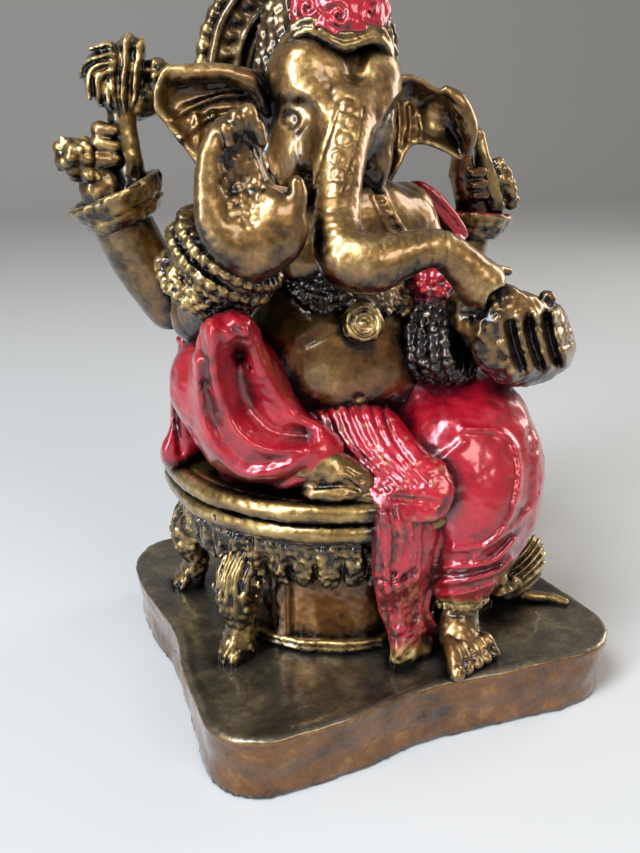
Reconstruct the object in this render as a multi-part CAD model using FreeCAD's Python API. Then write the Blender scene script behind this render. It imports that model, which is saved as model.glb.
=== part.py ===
"""Seated four-armed ganesha idol: a hand-painted cast figurine on a cushion-shaped plinth.

Frame: millimetres, +Z up, origin at the centre of the plinth's underside. The figure looks
towards -Y, so its own right side is at -X. Every sculpted element is one solid of its own.
Later solids in the list are cut by the earlier ones that they run into, so all meet face to face.
"""
import FreeCAD, Part
import math
import os

V = FreeCAD.Vector

# ---- driving dimensions, in mm -------------------------------------------------------------

PLINTH_HALF_WIDTH = 45.0
PLINTH_HALF_DEPTH = 43.0
PLINTH_HEIGHT = 13.6
PLINTH_CORNER_RADIUS = 12.0
PLINTH_SIDE_LEAN = 8.5  # degrees that each side arc leans at its ends
PLINTH_EDGE_ROUND = 1.2

THRONE_X, THRONE_Y = -4.0, 1.5
DRUM_RADIUS = 24.8
DRUM_TOP_Z = 33.0
MOULDING_RADIUS = 27.0
MOULDING_HEIGHT = 3.2
FRINGE_BOTTOM_RADIUS = 29.0
FRINGE_TOP_RADIUS = 34.0
FRINGE_TOP_Z = 43.0
RIM_LOWER_RADIUS = 37.0
RIM_LOWER_TOP_Z = 47.0
RIM_UPPER_RADIUS = 37.0
SEAT_TOP_Z = 51.0
SEAT_CORE_RADIUS = 31.5
LEG_REACH = 33.2
LEG_ANGLES = {"front": (210.5, 329.5), "back": (153.0, 27.0)}
PIECES_PER_NODE = {"throne_legs_front": 2, "throne_legs_back": 2}

BODY_X = -6.0
HIPS = ((BODY_X, 3.0, 58.0), (25.0, 19.0, 13.0))
BELLY = ((BODY_X, -3.0, 73.0), (20.0, 18.0, 17.5))
CHEST = ((BODY_X, 3.0, 92.0), (18.5, 12.5, 15.0))
HEAD = ((BODY_X, -1.0, 116.5), (12.4, 13.0, 13.5))

CROWN_BASE_Z = 126.5
CROWN_BASE_RADIUS = 12.0
CROWN_TIER_Z = 139.0
CROWN_TIER_RADIUS = 8.6
CROWN_TOP_Z = 150.0
FINIAL_TOP_Z = 156.0
FINIAL_LOW_RADIUS = 3.0
FINIAL_TIP_RADIUS = 1.2
CROWN_Y = 1.0

HALO_RADIUS = 20.0
HALO_BEAD_RADIUS = 1.6
HALO_Z = 125.0
HALO_Y = 12.6
HALO_THICKNESS = 2.6

EAR_THICKNESS = 2.6


# ---- building blocks -----------------------------------------------------------------------

def ellipsoid(centre, radii, turn_z=0.0, tilt_y=0.0):
    """Sphere stretched to three radii, turned about +Z after a tilt about +Y."""
    stretch = FreeCAD.Matrix()
    stretch.scale(*radii)
    shape = Part.makeSphere(1.0).transformGeometry(stretch)
    shape.rotate(V(0, 0, 0), V(0, 1, 0), tilt_y)
    shape.rotate(V(0, 0, 0), V(0, 0, 1), turn_z)
    shape.translate(V(*centre))
    return shape


def aim(shape, start, end):
    """Move a shape made along +Z from the origin so that it runs from start towards end."""
    along = V(*end) - V(*start)
    shape.Placement = FreeCAD.Placement(V(*start), FreeCAD.Rotation(V(0, 0, 1), along))
    return shape


def limb(start, end, start_radius, end_radius):
    """Tapered rod with round ends, centred on the line from start to end."""
    length = (V(*end) - V(*start)).Length
    slope = math.asin((start_radius - end_radius) / length)

    def rim(z, radius, angle):
        return V(radius * math.cos(angle), 0, z + radius * math.sin(angle))

    low_arc = Part.Arc(rim(0, start_radius, -math.pi / 2),
                       rim(0, start_radius, (slope - math.pi / 2) / 2),
                       rim(0, start_radius, slope))
    high_arc = Part.Arc(rim(length, end_radius, slope),
                        rim(length, end_radius, (slope + math.pi / 2) / 2),
                        rim(length, end_radius, math.pi / 2))
    side = Part.LineSegment(low_arc.EndPoint, high_arc.StartPoint)
    spine = Part.LineSegment(high_arc.EndPoint, low_arc.StartPoint)
    profile = Part.Wire([low_arc.toShape(), side.toShape(), high_arc.toShape(), spine.toShape()])
    return aim(Part.Face(profile).revolve(V(0, 0, 0), V(0, 0, 1), 360), start, end)


def bent_limb(stations):
    """Loft through circles of given (centre, radius), each square to the path through the centres."""
    centres = [V(*centre) for centre, radius in stations]
    circles = []
    for i, (centre, radius) in enumerate(stations):
        before = centres[max(i - 1, 0)]
        after = centres[min(i + 1, len(centres) - 1)]
        circles.append(Part.Wire(Part.makeCircle(radius, centres[i], after - before)))
    return Part.makeLoft(circles, True, False)


def ring(centre, axis, radius, wire):
    """Plain torus."""
    return Part.makeTorus(radius, wire, V(*centre), V(*axis))


def turned(profile):
    """Solid of revolution about the throne's upright axis, from (radius, z) corners."""
    corners = [V(radius, 0, z) for radius, z in profile]
    face = Part.Face(Part.makePolygon(corners + corners[:1]))
    shape = face.revolve(V(0, 0, 0), V(0, 0, 1), 360)
    shape.translate(V(THRONE_X, THRONE_Y, 0))
    return shape


def fused(*shapes):
    """Union of overlapping shapes, without the seams between them."""
    return shapes[0].multiFuse(list(shapes[1:])).removeSplitter()


# ---- plinth and throne ---------------------------------------------------------------------

def make_plinth():
    """Slab with round corners whose four sides are drawn in at the middle, in tangent arcs."""
    corner, lean = PLINTH_CORNER_RADIUS, math.radians(PLINTH_SIDE_LEAN)
    core_w, core_d = PLINTH_HALF_WIDTH - corner, PLINTH_HALF_DEPTH - corner

    def on_corner(sx, sy, angle):
        return V(sx * (core_w + corner * math.cos(angle)), sy * (core_d + corner * math.sin(angle)), 0)

    def side(start, end, inwards):
        draw_in = (end - start).Length / 2 * math.tan(lean / 2)
        return Part.Arc(start, (start + end) * 0.5 + inwards * draw_in, end).toShape()

    edges = []
    for sx, sy in ((1, 1), (-1, 1), (-1, -1), (1, -1)):
        low, high = on_corner(sx, sy, -lean), on_corner(sx, sy, math.pi / 2 + lean)
        edges.append(Part.Arc(low, on_corner(sx, sy, math.pi / 4), high).toShape())
        if sx * sy > 0:
            edges.append(side(high, V(-high.x, high.y, 0), V(0, -sy, 0)))
        else:
            edges.append(side(low, V(low.x, -low.y, 0), V(-sx, 0, 0)))
    slab = Part.Face(Part.Wire(Part.__sortEdges__(edges))).extrude(V(0, 0, PLINTH_HEIGHT))
    rims = [edge for edge in slab.Edges if edge.BoundBox.ZLength < PLINTH_EDGE_ROUND]
    return slab.makeFillet(PLINTH_EDGE_ROUND, rims)


def make_throne_drum():
    return turned([(0, PLINTH_HEIGHT), (DRUM_RADIUS, PLINTH_HEIGHT),
                   (DRUM_RADIUS, DRUM_TOP_Z), (0, DRUM_TOP_Z)])


def make_drum_moulding(bottom_z):
    """Bevelled band that stands proud of the drum."""
    top_z = bottom_z + MOULDING_HEIGHT
    bevel = (MOULDING_RADIUS - DRUM_RADIUS) / 2
    return turned([(DRUM_RADIUS, bottom_z), (MOULDING_RADIUS, bottom_z),
                   (MOULDING_RADIUS, top_z - bevel), (MOULDING_RADIUS - bevel, top_z),
                   (DRUM_RADIUS, top_z)])


def make_leaf_fringe():
    return turned([(0, DRUM_TOP_Z), (FRINGE_BOTTOM_RADIUS, DRUM_TOP_Z),
                   (FRINGE_TOP_RADIUS, FRINGE_TOP_Z), (0, FRINGE_TOP_Z)])


def make_seat_core():
    return turned([(0, FRINGE_TOP_Z), (SEAT_CORE_RADIUS, FRINGE_TOP_Z),
                   (SEAT_CORE_RADIUS, SEAT_TOP_Z), (0, SEAT_TOP_Z)])


def make_seat_rim(bottom_z, top_z, radius):
    """Half-round band around the seat core."""
    half = (top_z - bottom_z) / 2
    inner, flat = SEAT_CORE_RADIUS, radius - half
    bulge = Part.Arc(V(flat, 0, bottom_z), V(radius, 0, bottom_z + half), V(flat, 0, top_z))
    back = Part.makePolygon([V(flat, 0, top_z), V(inner, 0, top_z),
                             V(inner, 0, bottom_z), V(flat, 0, bottom_z)])
    band = Part.Face(Part.Wire([bulge.toShape()] + back.Edges)).revolve(V(0, 0, 0), V(0, 0, 1), 360)
    band.translate(V(THRONE_X, THRONE_Y, 0))
    return band


def make_throne_leg(angle):
    """Scrolled leg: out at the knee, in at the ankle, out again at the paw."""
    outline = [(LEG_REACH - 6.0, DRUM_TOP_Z + 4.0, 3.8), (LEG_REACH - 1.5, DRUM_TOP_Z - 1.0, 4.6),
               (LEG_REACH, DRUM_TOP_Z - 7.0, 4.2), (LEG_REACH - 1.0, PLINTH_HEIGHT + 7.0, 3.2),
               (LEG_REACH, PLINTH_HEIGHT + 2.5, 3.4), (LEG_REACH + 0.5, PLINTH_HEIGHT - 1.0, 4.0)]
    turn = math.radians(angle)
    stations = [((THRONE_X + reach * math.cos(turn), THRONE_Y + reach * math.sin(turn), z), radius)
                for reach, z, radius in outline]
    return bent_limb(stations)


# ---- body, head and crown ------------------------------------------------------------------

def make_trunk_root():
    """From the forehead down to the lowest bend."""
    return bent_limb([((-6, -8, 124), 6.5), ((-7, -13, 117), 6.4), ((-9.5, -17, 109), 5.6),
                      ((-12, -21.5, 101), 5.2), ((-13.5, -26, 94), 5.0)])


def make_trunk_tip():
    """From the lowest bend up and across to the sweet in the front left hand."""
    return bent_limb([((-13.5, -26, 94), 5.0), ((-8.5, -29.5, 92.5), 4.7), ((-2, -30.5, 95), 4.3),
                      ((4.5, -31.5, 95.5), 3.7), ((9.5, -32.5, 92.5), 3.2), ((12.5, -33, 90), 3.4)])


def make_ear(side):
    """Broad thin flap that stands out sideways from the head."""
    reach, height = 10.5, 11.5
    centre = (BODY_X + side * 20.5, 3.0, 114.0)
    return ellipsoid(centre, (reach, EAR_THICKNESS, height), turn_z=-side * 12.0, tilt_y=side * 18.0)


def make_tusk():
    """Short right tusk, between the trunk and the raised hand."""
    return limb((BODY_X - 6.5, -11.0, 107.5), (BODY_X - 8.5, -18.0, 105.0), 1.9, 1.2)


def make_headband():
    return ring((BODY_X, CROWN_Y, CROWN_BASE_Z), (0, 0.25, 1), CROWN_BASE_RADIUS, 2.0)


def make_crown_tier(bottom_z, top_z, bottom_radius, top_radius):
    return Part.makeCone(bottom_radius, top_radius, top_z - bottom_z, V(BODY_X, CROWN_Y, bottom_z))


def make_crown_top():
    """Upper tier of the crown with its bud-shaped finial."""
    finial = limb((BODY_X, CROWN_Y, CROWN_TOP_Z + FINIAL_LOW_RADIUS / 2),
                  (BODY_X, CROWN_Y, FINIAL_TOP_Z - FINIAL_TIP_RADIUS),
                  FINIAL_LOW_RADIUS, FINIAL_TIP_RADIUS)
    tier = make_crown_tier(CROWN_TIER_Z, CROWN_TOP_Z, CROWN_TIER_RADIUS - 1.2, FINIAL_LOW_RADIUS + 0.4)
    return fused(tier, finial)


def make_crown_plaque():
    """Raised leaf-shaped plaque on the front of the crown."""
    return ellipsoid((BODY_X, CROWN_Y - 9.0, 136.5), (9.5, 3.6, 7.5))


def make_halo_disc():
    return Part.makeCylinder(HALO_RADIUS, HALO_THICKNESS, V(BODY_X, HALO_Y, HALO_Z), V(0, 1, 0))


def make_halo_bead_ring():
    return ring((BODY_X, HALO_Y + HALO_THICKNESS / 2, HALO_Z), (0, 1, 0),
                HALO_RADIUS + HALO_BEAD_RADIUS / 2, HALO_BEAD_RADIUS)


# ---- hands and what they hold --------------------------------------------------------------

def make_blessing_hand():
    """Front right hand: open palm to the front, fingers up, thumb beside them."""
    palm = ellipsoid((-30.5, -22.5, 100.5), (9.0, 4.2, 10.5), turn_z=-12.0)
    fingers = ellipsoid((-30.5, -21.5, 111.5), (6.6, 3.6, 8.6), turn_z=-12.0)
    thumb = limb((-25.5, -24.0, 99.0), (-24.3, -24.5, 106.0), 2.9, 2.0)
    return fused(palm, fingers, thumb)


def make_offering_hand():
    """Front left hand: palm up, fingers curled round the bowl of sweets."""
    return ellipsoid((21.5, -28.5, 77.5), (11.0, 8.5, 8.0), tilt_y=-8.0)


def make_sweets():
    """Heap of sweets lying in the front left hand."""
    return ellipsoid((20.5, -30.0, 85.0), (6.0, 5.0, 4.0))


def make_lotus_sceptre():
    """Thick stem with a lotus head, held upright by the rear right hand, and its knotted side bud."""
    stem = limb((-44.0, 8.0, 106.0), (-44.0, 8.0, 118.0), 2.6, 2.8)
    flower = ellipsoid((-43.8, 8.0, 124.0), (6.8, 5.0, 7.2))
    bud = limb((-47.0, 7.5, 112.0), (-52.8, 6.5, 110.8), 3.0, 3.8)
    return fused(stem, flower, bud)


def make_goad_blade():
    """Short broad blade held upright on the outer side of the rear left hand."""
    return limb((40.5, 10.0, 101.5), (35.5, 10.0, 111.5), 3.0, 2.2)


# ---- cloth ---------------------------------------------------------------------------------

def make_right_shin():
    """Folded right shin under its cloth, from the raised knee in to the foot."""
    return limb((-31.0, -9.8, 68.8), (-22.0, -24.5, 58.5), 10.6, 6.4)


def make_right_thigh():
    return limb((-19.0, -2.0, 60.5), (-29.5, -8.0, 68.0), 10.4, 9.8)


def make_left_thigh():
    return limb((4.0, -6.0, 60.5), (17.0, -20.5, 56.5), 10.5, 11.5)


def make_left_shin():
    """Full cloth of the hanging left leg, gathered above the ankle."""
    return bent_limb([((16.5, -21.5, 57.5), 12.0), ((17.2, -23.2, 50.0), 13.0),
                      ((15.4, -24.8, 41.0), 12.2), ((12.2, -26.8, 33.0), 9.0),
                      ((11.0, -27.8, 26.5), 6.6)])


def make_lap_sash():
    """Broad band laid over the lap, from the belly to the front of the seat."""
    return bent_limb([((-10.0, -14.0, 60.5), 5.5), ((-6.5, -21.0, 58.0), 6.0),
                      ((-3.0, -27.0, 54.0), 6.0), ((-1.5, -31.0, 49.0), 5.5)])


def make_sash_tail():
    """End of the band that hangs in front of the seat down to the plinth."""
    return bent_limb([((-1.5, -31.0, 49.0), 5.5), ((-3.5, -31.0, 42.0), 5.0),
                      ((-4.0, -30.0, 32.0), 4.4), ((-2.0, -28.8, 22.0), 4.4),
                      ((-1.5, -28.5, PLINTH_HEIGHT), 5.0)])


def make_side_scarf():
    """Cloth that falls from behind the raised knee onto the seat."""
    return ellipsoid((-33.5, 6.0, 62.5), (5.5, 8.0, 15.0), tilt_y=4.0)


def make_shoulder_shawl():
    """Cloth over the left shoulder, with its bunched end at the side of the chest."""
    return limb((18.0, 0.5, 95.0), (11.5, -10.5, 85.0), 6.6, 5.4)


# ---- feet and mouse ------------------------------------------------------------------------

def make_right_foot():
    """Right foot laid flat on the seat, toes towards the front."""
    return ellipsoid((-14.0, -27.5, 54.0), (7.5, 5.0, 4.4), turn_z=-14.0, tilt_y=10.0)


def make_left_foot():
    """Left foot flat on the plinth, with the ankle above it."""
    sole = ellipsoid((10.0, -34.5, PLINTH_HEIGHT + 2.6), (5.2, 8.5, 4.2), turn_z=6.0)
    ankle = limb((11.5, -29.0, 22.5), (10.0, -31.0, PLINTH_HEIGHT + 3.0), 4.4, 4.6)
    return fused(sole, ankle)


def make_mouse_body():
    return ellipsoid((32.0, -15.5, 20.5), (8.5, 5.6, 7.4), turn_z=-18.0, tilt_y=-14.0)


def make_mouse_head():
    return ellipsoid((25.0, -19.5, 25.5), (5.4, 3.8, 4.0), turn_z=-18.0, tilt_y=20.0)


def make_mouse_tail():
    return bent_limb([((37.0, -16.0, PLINTH_HEIGHT + 1.6), 1.9), ((41.0, -21.0, PLINTH_HEIGHT + 1.0), 1.6),
                      ((42.0, -26.5, PLINTH_HEIGHT + 0.8), 1.3), ((39.5, -31.0, PLINTH_HEIGHT + 0.6), 1.0)])


# ---- assembly ------------------------------------------------------------------------------

def right_front_arm():
    shoulder, elbow, wrist = (-23.0, 1.0, 97.0), (-33.5, -6.0, 82.0), (-32.0, -19.0, 91.0)
    return {"right_front_upper_arm": limb(shoulder, elbow, 7.0, 6.4),
            "right_front_hand": make_blessing_hand(),
            "right_front_bracelet": bent_limb([((-34.2, -12.6, 89.2), 8.6), ((-32.2, -16.4, 93.6), 9.4)]),
            "right_front_forearm": limb(elbow, wrist, 6.6, 6.6)}


def left_front_arm():
    shoulder, elbow, wrist = (11.5, 1.0, 97.0), (14.5, -4.5, 79.0), (12.0, -22.0, 76.5)
    return {"left_front_upper_arm": limb(shoulder, elbow, 7.0, 6.2),
            "sweets": make_sweets(),
            "left_front_hand": make_offering_hand(),
            "left_front_bracelet": bent_limb([((10.6, -17.5, 75.8), 7.6), ((13.2, -24.5, 77.0), 8.0)]),
            "left_front_forearm": limb(elbow, wrist, 6.4, 6.0)}


def rear_arm(side):
    """Rear arm: out and down to the elbow, then up through a flared cuff to the closed hand."""
    if side < 0:
        name, elbow, wrist = "right", (-36.5, 7.5, 82.0), (-46.0, 8.0, 103.0)
        hand = ellipsoid((-45.5, 8.0, 111.0), (5.6, 5.0, 6.8), tilt_y=15.0)
    else:
        name, elbow, wrist = "left", (27.5, 9.0, 80.5), (34.5, 10.0, 98.5)
        hand = limb((34.0, 10.0, 98.0), (30.8, 10.0, 106.5), 4.4, 3.4)
    shoulder = (BODY_X + side * 20.0, 6.0, 96.0)
    arm = V(*wrist) - V(*elbow)
    arm.normalize()
    cuff_low = V(*wrist) - arm * 4.0
    cuff_high = V(*wrist) + arm * 1.5
    cuff = aim(Part.makeCone(5.4, 9.3, (cuff_high - cuff_low).Length), tuple(cuff_low), tuple(cuff_high))
    return {f"{name}_rear_upper_arm": limb(shoulder, elbow, 6.6, 5.8),
            f"{name}_rear_cuff": cuff,
            f"{name}_rear_hand": hand,
            f"{name}_rear_forearm": limb(elbow, wrist, 5.6, 4.8)}


def make_pieces():
    """All solids by node name, in the order in which earlier ones cut into later ones."""
    pieces = {
        "plinth": make_plinth(),
        "throne_drum": make_throne_drum(),
        "throne_foot_moulding": make_drum_moulding(PLINTH_HEIGHT),
        "throne_top_moulding": make_drum_moulding(DRUM_TOP_Z - MOULDING_HEIGHT),
        "throne_leaf_fringe": make_leaf_fringe(),
        "seat_core": make_seat_core(),
        "seat_rim_lower": make_seat_rim(FRINGE_TOP_Z, RIM_LOWER_TOP_Z, RIM_LOWER_RADIUS),
        "seat_rim_upper": make_seat_rim(RIM_LOWER_TOP_Z, SEAT_TOP_Z, RIM_UPPER_RADIUS),
    }
    for place, angles in LEG_ANGLES.items():
        pieces[f"throne_legs_{place}"] = Part.Compound([make_throne_leg(angle) for angle in angles])
    pieces["right_foot"] = make_right_foot()
    pieces["left_foot"] = make_left_foot()
    pieces["left_anklet"] = ring((11.8, -29.0, 22.5), (0.15, -0.2, 1), 4.6, 1.5)
    pieces["mouse_head"] = make_mouse_head()
    pieces["mouse_body"] = make_mouse_body()
    pieces["mouse_tail"] = make_mouse_tail()
    pieces["sash_tail"] = make_sash_tail()
    pieces["lap_sash"] = make_lap_sash()
    pieces["left_shin_cloth"] = make_left_shin()
    pieces["left_thigh_cloth"] = make_left_thigh()
    pieces["right_shin_cloth"] = make_right_shin()
    pieces["right_thigh_cloth"] = make_right_thigh()
    pieces["side_scarf"] = make_side_scarf()
    pieces["crown_plaque"] = make_crown_plaque()
    pieces["crown_lower_tier"] = make_crown_tier(CROWN_BASE_Z, CROWN_TIER_Z,
                                                 CROWN_BASE_RADIUS, CROWN_TIER_RADIUS)
    pieces["crown_upper_tier"] = make_crown_top()
    pieces["headband"] = make_headband()
    pieces["right_tusk"] = make_tusk()
    pieces["trunk_tip"] = make_trunk_tip()
    pieces["trunk_root"] = make_trunk_root()
    pieces["head"] = ellipsoid(*HEAD)
    pieces["ear_right"] = make_ear(-1)
    pieces["ear_left"] = make_ear(1)
    pieces["halo_disc"] = make_halo_disc()
    pieces["halo_bead_ring"] = make_halo_bead_ring()
    pieces["lotus_sceptre"] = make_lotus_sceptre()
    pieces["goad_blade"] = make_goad_blade()
    for arm in (right_front_arm(), left_front_arm(), rear_arm(-1), rear_arm(1)):
        pieces.update(arm)
    pieces["medallion"] = limb((BODY_X - 0.5, -18.0, 80.5), (BODY_X - 0.5, -20.6, 81.0), 3.8, 3.4)
    pieces["necklace"] = ring((BODY_X, -2.0, 93.0), (0, -0.62, 1), 14.0, 3.4)
    pieces["shoulder_shawl"] = make_shoulder_shawl()
    pieces["chest"] = ellipsoid(*CHEST)
    pieces["belly"] = ellipsoid(*BELLY)
    pieces["hips"] = ellipsoid(*HIPS)
    return pieces


def cut_to_meet(pieces):
    """Cut each piece by the earlier ones in its way, and drop the crumbs that this leaves."""
    finished = {}
    for name, shape in pieces.items():
        in_the_way = [other for other in finished.values() if other.BoundBox.intersect(shape.BoundBox)]
        if in_the_way:
            shape = shape.cut(in_the_way)
        lumps = sorted(shape.Solids, key=lambda solid: solid.Volume, reverse=True)
        finished[name] = Part.Compound(lumps[:PIECES_PER_NODE.get(name, 1)])
    return finished


def main():
    os.makedirs("parts", exist_ok=True)
    for name, solid in cut_to_meet(make_pieces()).items():
        if not solid.isValid() or not solid.Solids:
            raise RuntimeError(f"{name} is not a valid solid")
        solid.exportStep(f"parts/{name}.step")
        print(f"{name:24s} {solid.Volume:10.1f} mm3")


main()
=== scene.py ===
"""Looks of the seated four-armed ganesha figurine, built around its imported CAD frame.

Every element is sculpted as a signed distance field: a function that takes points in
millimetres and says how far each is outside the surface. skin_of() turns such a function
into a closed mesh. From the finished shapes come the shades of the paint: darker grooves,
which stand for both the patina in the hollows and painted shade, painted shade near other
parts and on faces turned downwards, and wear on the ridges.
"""
import math
from concurrent.futures import ThreadPoolExecutor

import bpy
import numpy as np
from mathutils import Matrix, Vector


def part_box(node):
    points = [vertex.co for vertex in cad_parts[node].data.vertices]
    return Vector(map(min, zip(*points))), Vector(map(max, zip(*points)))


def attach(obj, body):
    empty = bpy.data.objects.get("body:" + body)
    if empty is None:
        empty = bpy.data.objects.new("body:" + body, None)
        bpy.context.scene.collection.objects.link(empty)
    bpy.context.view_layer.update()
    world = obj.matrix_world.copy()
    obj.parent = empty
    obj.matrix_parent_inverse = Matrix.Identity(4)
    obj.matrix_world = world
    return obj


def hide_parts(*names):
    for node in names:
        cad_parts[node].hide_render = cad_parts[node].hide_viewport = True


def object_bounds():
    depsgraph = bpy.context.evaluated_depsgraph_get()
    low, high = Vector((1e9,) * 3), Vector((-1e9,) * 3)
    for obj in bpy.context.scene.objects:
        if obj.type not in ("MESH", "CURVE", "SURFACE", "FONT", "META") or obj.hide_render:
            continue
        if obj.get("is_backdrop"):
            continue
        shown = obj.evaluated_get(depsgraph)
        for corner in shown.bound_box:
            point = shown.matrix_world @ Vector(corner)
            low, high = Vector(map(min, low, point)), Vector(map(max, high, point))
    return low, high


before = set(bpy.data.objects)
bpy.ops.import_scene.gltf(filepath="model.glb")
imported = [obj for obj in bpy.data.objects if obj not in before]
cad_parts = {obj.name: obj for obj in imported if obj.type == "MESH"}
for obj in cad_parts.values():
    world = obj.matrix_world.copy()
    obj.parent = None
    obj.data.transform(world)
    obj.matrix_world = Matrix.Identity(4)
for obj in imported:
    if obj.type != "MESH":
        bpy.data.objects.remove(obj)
SIZE_AT_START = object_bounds()

MM = 0.001
EYE_PLACE = (-76.2, -157.4, 113.8)                   # the viewer's eye, mm
EYE = np.array(EYE_PLACE, np.float32)
FINE, MIDDLE, COARSE = 0.40, 0.54, 0.8               # grid steps of the skins, mm
BODY_X = -6.0                                        # the figure's plane of symmetry


# ---- the frame, in millimetres --------------------------------------------------------------

def limits(*nodes):
    """Lowest and highest corner around the given CAD nodes."""
    boxes = [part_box(node) for node in nodes]
    low = np.min([box[0] for box in boxes], axis=0) / MM
    high = np.max([box[1] for box in boxes], axis=0) / MM
    return low.astype(np.float32), high.astype(np.float32)


def middle(node):
    low, high = limits(node)
    return (low + high) / 2


def half(node):
    low, high = limits(node)
    return (high - low) / 2


PLINTH_TOP = float(limits("plinth")[1][2])
SEAT_TOP = float(limits("seat_core")[1][2])
THRONE = middle("seat_rim_upper")
CROWN_AXIS = middle("crown_lower_tier")
HALO = middle("halo_bead_ring")


# ---- sculpting tools ------------------------------------------------------------------------

def vec(*numbers):
    return np.array(numbers, np.float32)


def spline(points, steps=4):
    """Catmull-Rom curve through the points, whatever number of values each has."""
    points = np.array(points, np.float32)
    padded = np.vstack([2 * points[0] - points[1], points, 2 * points[-1] - points[-2]])
    curve = []
    for i in range(len(points) - 1):
        a, b, c, d = padded[i:i + 4]
        for t in np.arange(steps, dtype=np.float32) / steps:
            curve.append(0.5 * (2 * b + (c - a) * t + (2 * a - 5 * b + 4 * c - d) * t * t
                                + (3 * b - a - 3 * c + d) * t ** 3))
    return np.array(curve + [points[-1]], np.float32)


def rotation(turn, tilt, roll):
    """Columns are the turned axes: roll about X, then tilt about Y, then turn about Z."""
    cx, sx = math.cos(math.radians(roll)), math.sin(math.radians(roll))
    cy, sy = math.cos(math.radians(tilt)), math.sin(math.radians(tilt))
    cz, sz = math.cos(math.radians(turn)), math.sin(math.radians(turn))
    about_x = np.array(((1, 0, 0), (0, cx, -sx), (0, sx, cx)), np.float32)
    about_y = np.array(((cy, 0, sy), (0, 1, 0), (-sy, 0, cy)), np.float32)
    about_z = np.array(((cz, -sz, 0), (sz, cz, 0), (0, 0, 1)), np.float32)
    return about_z @ about_y @ about_x


def blob(p, centre, radii, turn=0.0, tilt=0.0, roll=0.0):
    """Ellipsoid."""
    q = (p - vec(*centre)) @ rotation(turn, tilt, roll)
    radii = vec(*radii)
    far = np.linalg.norm(q / radii, axis=1)
    steep = np.linalg.norm(q / radii ** 2, axis=1)
    return far * (far - 1) / np.maximum(steep, 1e-6)


def ball(p, centre, radius):
    return np.linalg.norm(p - vec(*centre), axis=1) - radius


def along(p, path):
    """Distance to the nearest run of a path less the radius there; each row is a point and radius."""
    nearest = np.full(len(p), 1e3, np.float32)
    size = p.shape[1]
    for a, b in zip(path, path[1:]):
        run = b[:size] - a[:size]
        t = np.clip((p - a[:size]) @ run / (run @ run + 1e-9), 0, 1)
        reach = np.linalg.norm(p - a[:size] - t[:, None] * run, axis=1)
        nearest = np.minimum(nearest, reach - a[size] - t * (b[size] - a[size]))
    return nearest


def tube(p, *points, steps=4):
    """Smooth round bar through (x, y, z, radius) points."""
    return along(p, spline(points, steps))


def seen(p, depth):
    """Where the line of sight to each point meets the upright plane y = depth, as (x, z)."""
    shrink = (depth - EYE[1]) / (p[:, 1] - EYE[1])
    return np.stack([EYE[0] + (p[:, 0] - EYE[0]) * shrink, EYE[2] + (p[:, 2] - EYE[2]) * shrink], axis=1)


def trace(uv, *points):
    """Distance on a plane to a smooth line."""
    return along(uv, spline([(u, v, 0) for u, v in points]))


def shape(uv, *points):
    """Signed distance on a plane to a smooth closed outline."""
    ring = spline(list(points) + [points[0]], 3)
    edge = np.full(len(uv), 1e3, np.float32)
    crossings = np.zeros(len(uv), bool)
    for a, b in zip(ring, ring[1:]):
        run = b - a
        t = np.clip((uv - a) @ run / (run @ run + 1e-9), 0, 1)
        edge = np.minimum(edge, np.linalg.norm(uv - a - t[:, None] * run, axis=1))
        spans = (a[1] > uv[:, 1]) != (b[1] > uv[:, 1])
        slope = run[0] / (run[1] if abs(run[1]) > 1e-9 else 1e-9)
        crossings ^= spans & (uv[:, 0] < a[0] + (uv[:, 1] - a[1]) * slope)
    return np.where(crossings, -edge, edge)


def join(a, b, k=1.0):
    """Union with a fillet of about k."""
    h = np.clip(0.5 + 0.5 * (b - a) / k, 0, 1)
    return b + (a - b) * h - k * h * (1 - h)


def meet(a, b, k=1.0):
    """Intersection with a rounded edge."""
    return -join(-a, -b, k)


def dig(a, b, k=0.5):
    """Shape a with shape b taken out."""
    return -join(-a, b, k)


def bump(distance, width):
    """1 on a line, falling smoothly to 0 beside it."""
    return np.exp(-(distance / width) ** 2)


def fade(value, start, end):
    """0 before start, 1 after end, smooth in between; start may be above end."""
    t = np.clip((value - start) / (end - start), 0, 1)
    return t * t * (3 - 2 * t)


LATTICE = np.random.RandomState(11).uniform(-1, 1, (32, 32, 32)).astype(np.float32)
SCATTER = np.random.RandomState(12).uniform(0.1, 0.9, (16, 16, 16, 3)).astype(np.float32)


def grain(p, size, shift=0.0):
    """Smooth noise between -1 and 1 with lumps of about the given size."""
    q = p / size + shift
    cell = np.floor(q).astype(np.int32)
    f = q - cell
    f = f * f * (3 - 2 * f)
    total = np.zeros(len(p), np.float32)
    for dx in (0, 1):
        for dy in (0, 1):
            for dz in (0, 1):
                weight = (np.abs(1 - dx - f[:, 0]) * np.abs(1 - dy - f[:, 1]) * np.abs(1 - dz - f[:, 2]))
                column, row, layer = ((cell + np.array((dx, dy, dz), np.int32)) & 31).T
                total += weight * LATTICE[column, row, layer]
    return total


def pebbles(p, size):
    """Granules: distance to the nearest of many scattered points, over the given spacing."""
    q = p / size
    base = np.floor(q - 0.5).astype(np.int32)
    nearest = np.full(len(p), 9.0, np.float32)
    for dx in (0, 1):
        for dy in (0, 1):
            for dz in (0, 1):
                cell = base + np.array((dx, dy, dz), np.int32)
                spot = cell + SCATTER[cell[:, 0] & 15, cell[:, 1] & 15, cell[:, 2] & 15]
                nearest = np.minimum(nearest, np.linalg.norm(q - spot, axis=1))
    return nearest


def hand_made(p, d, amount=0.12):
    """Slight unevenness of a cast and painted surface."""
    return d + amount * grain(p, 3.1) + 0.5 * amount * grain(p, 1.1, 5.0)


# ---- plinth and throne ----------------------------------------------------------------------

PLINTH_CORNER = 12.0
LOBES = 42


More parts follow.
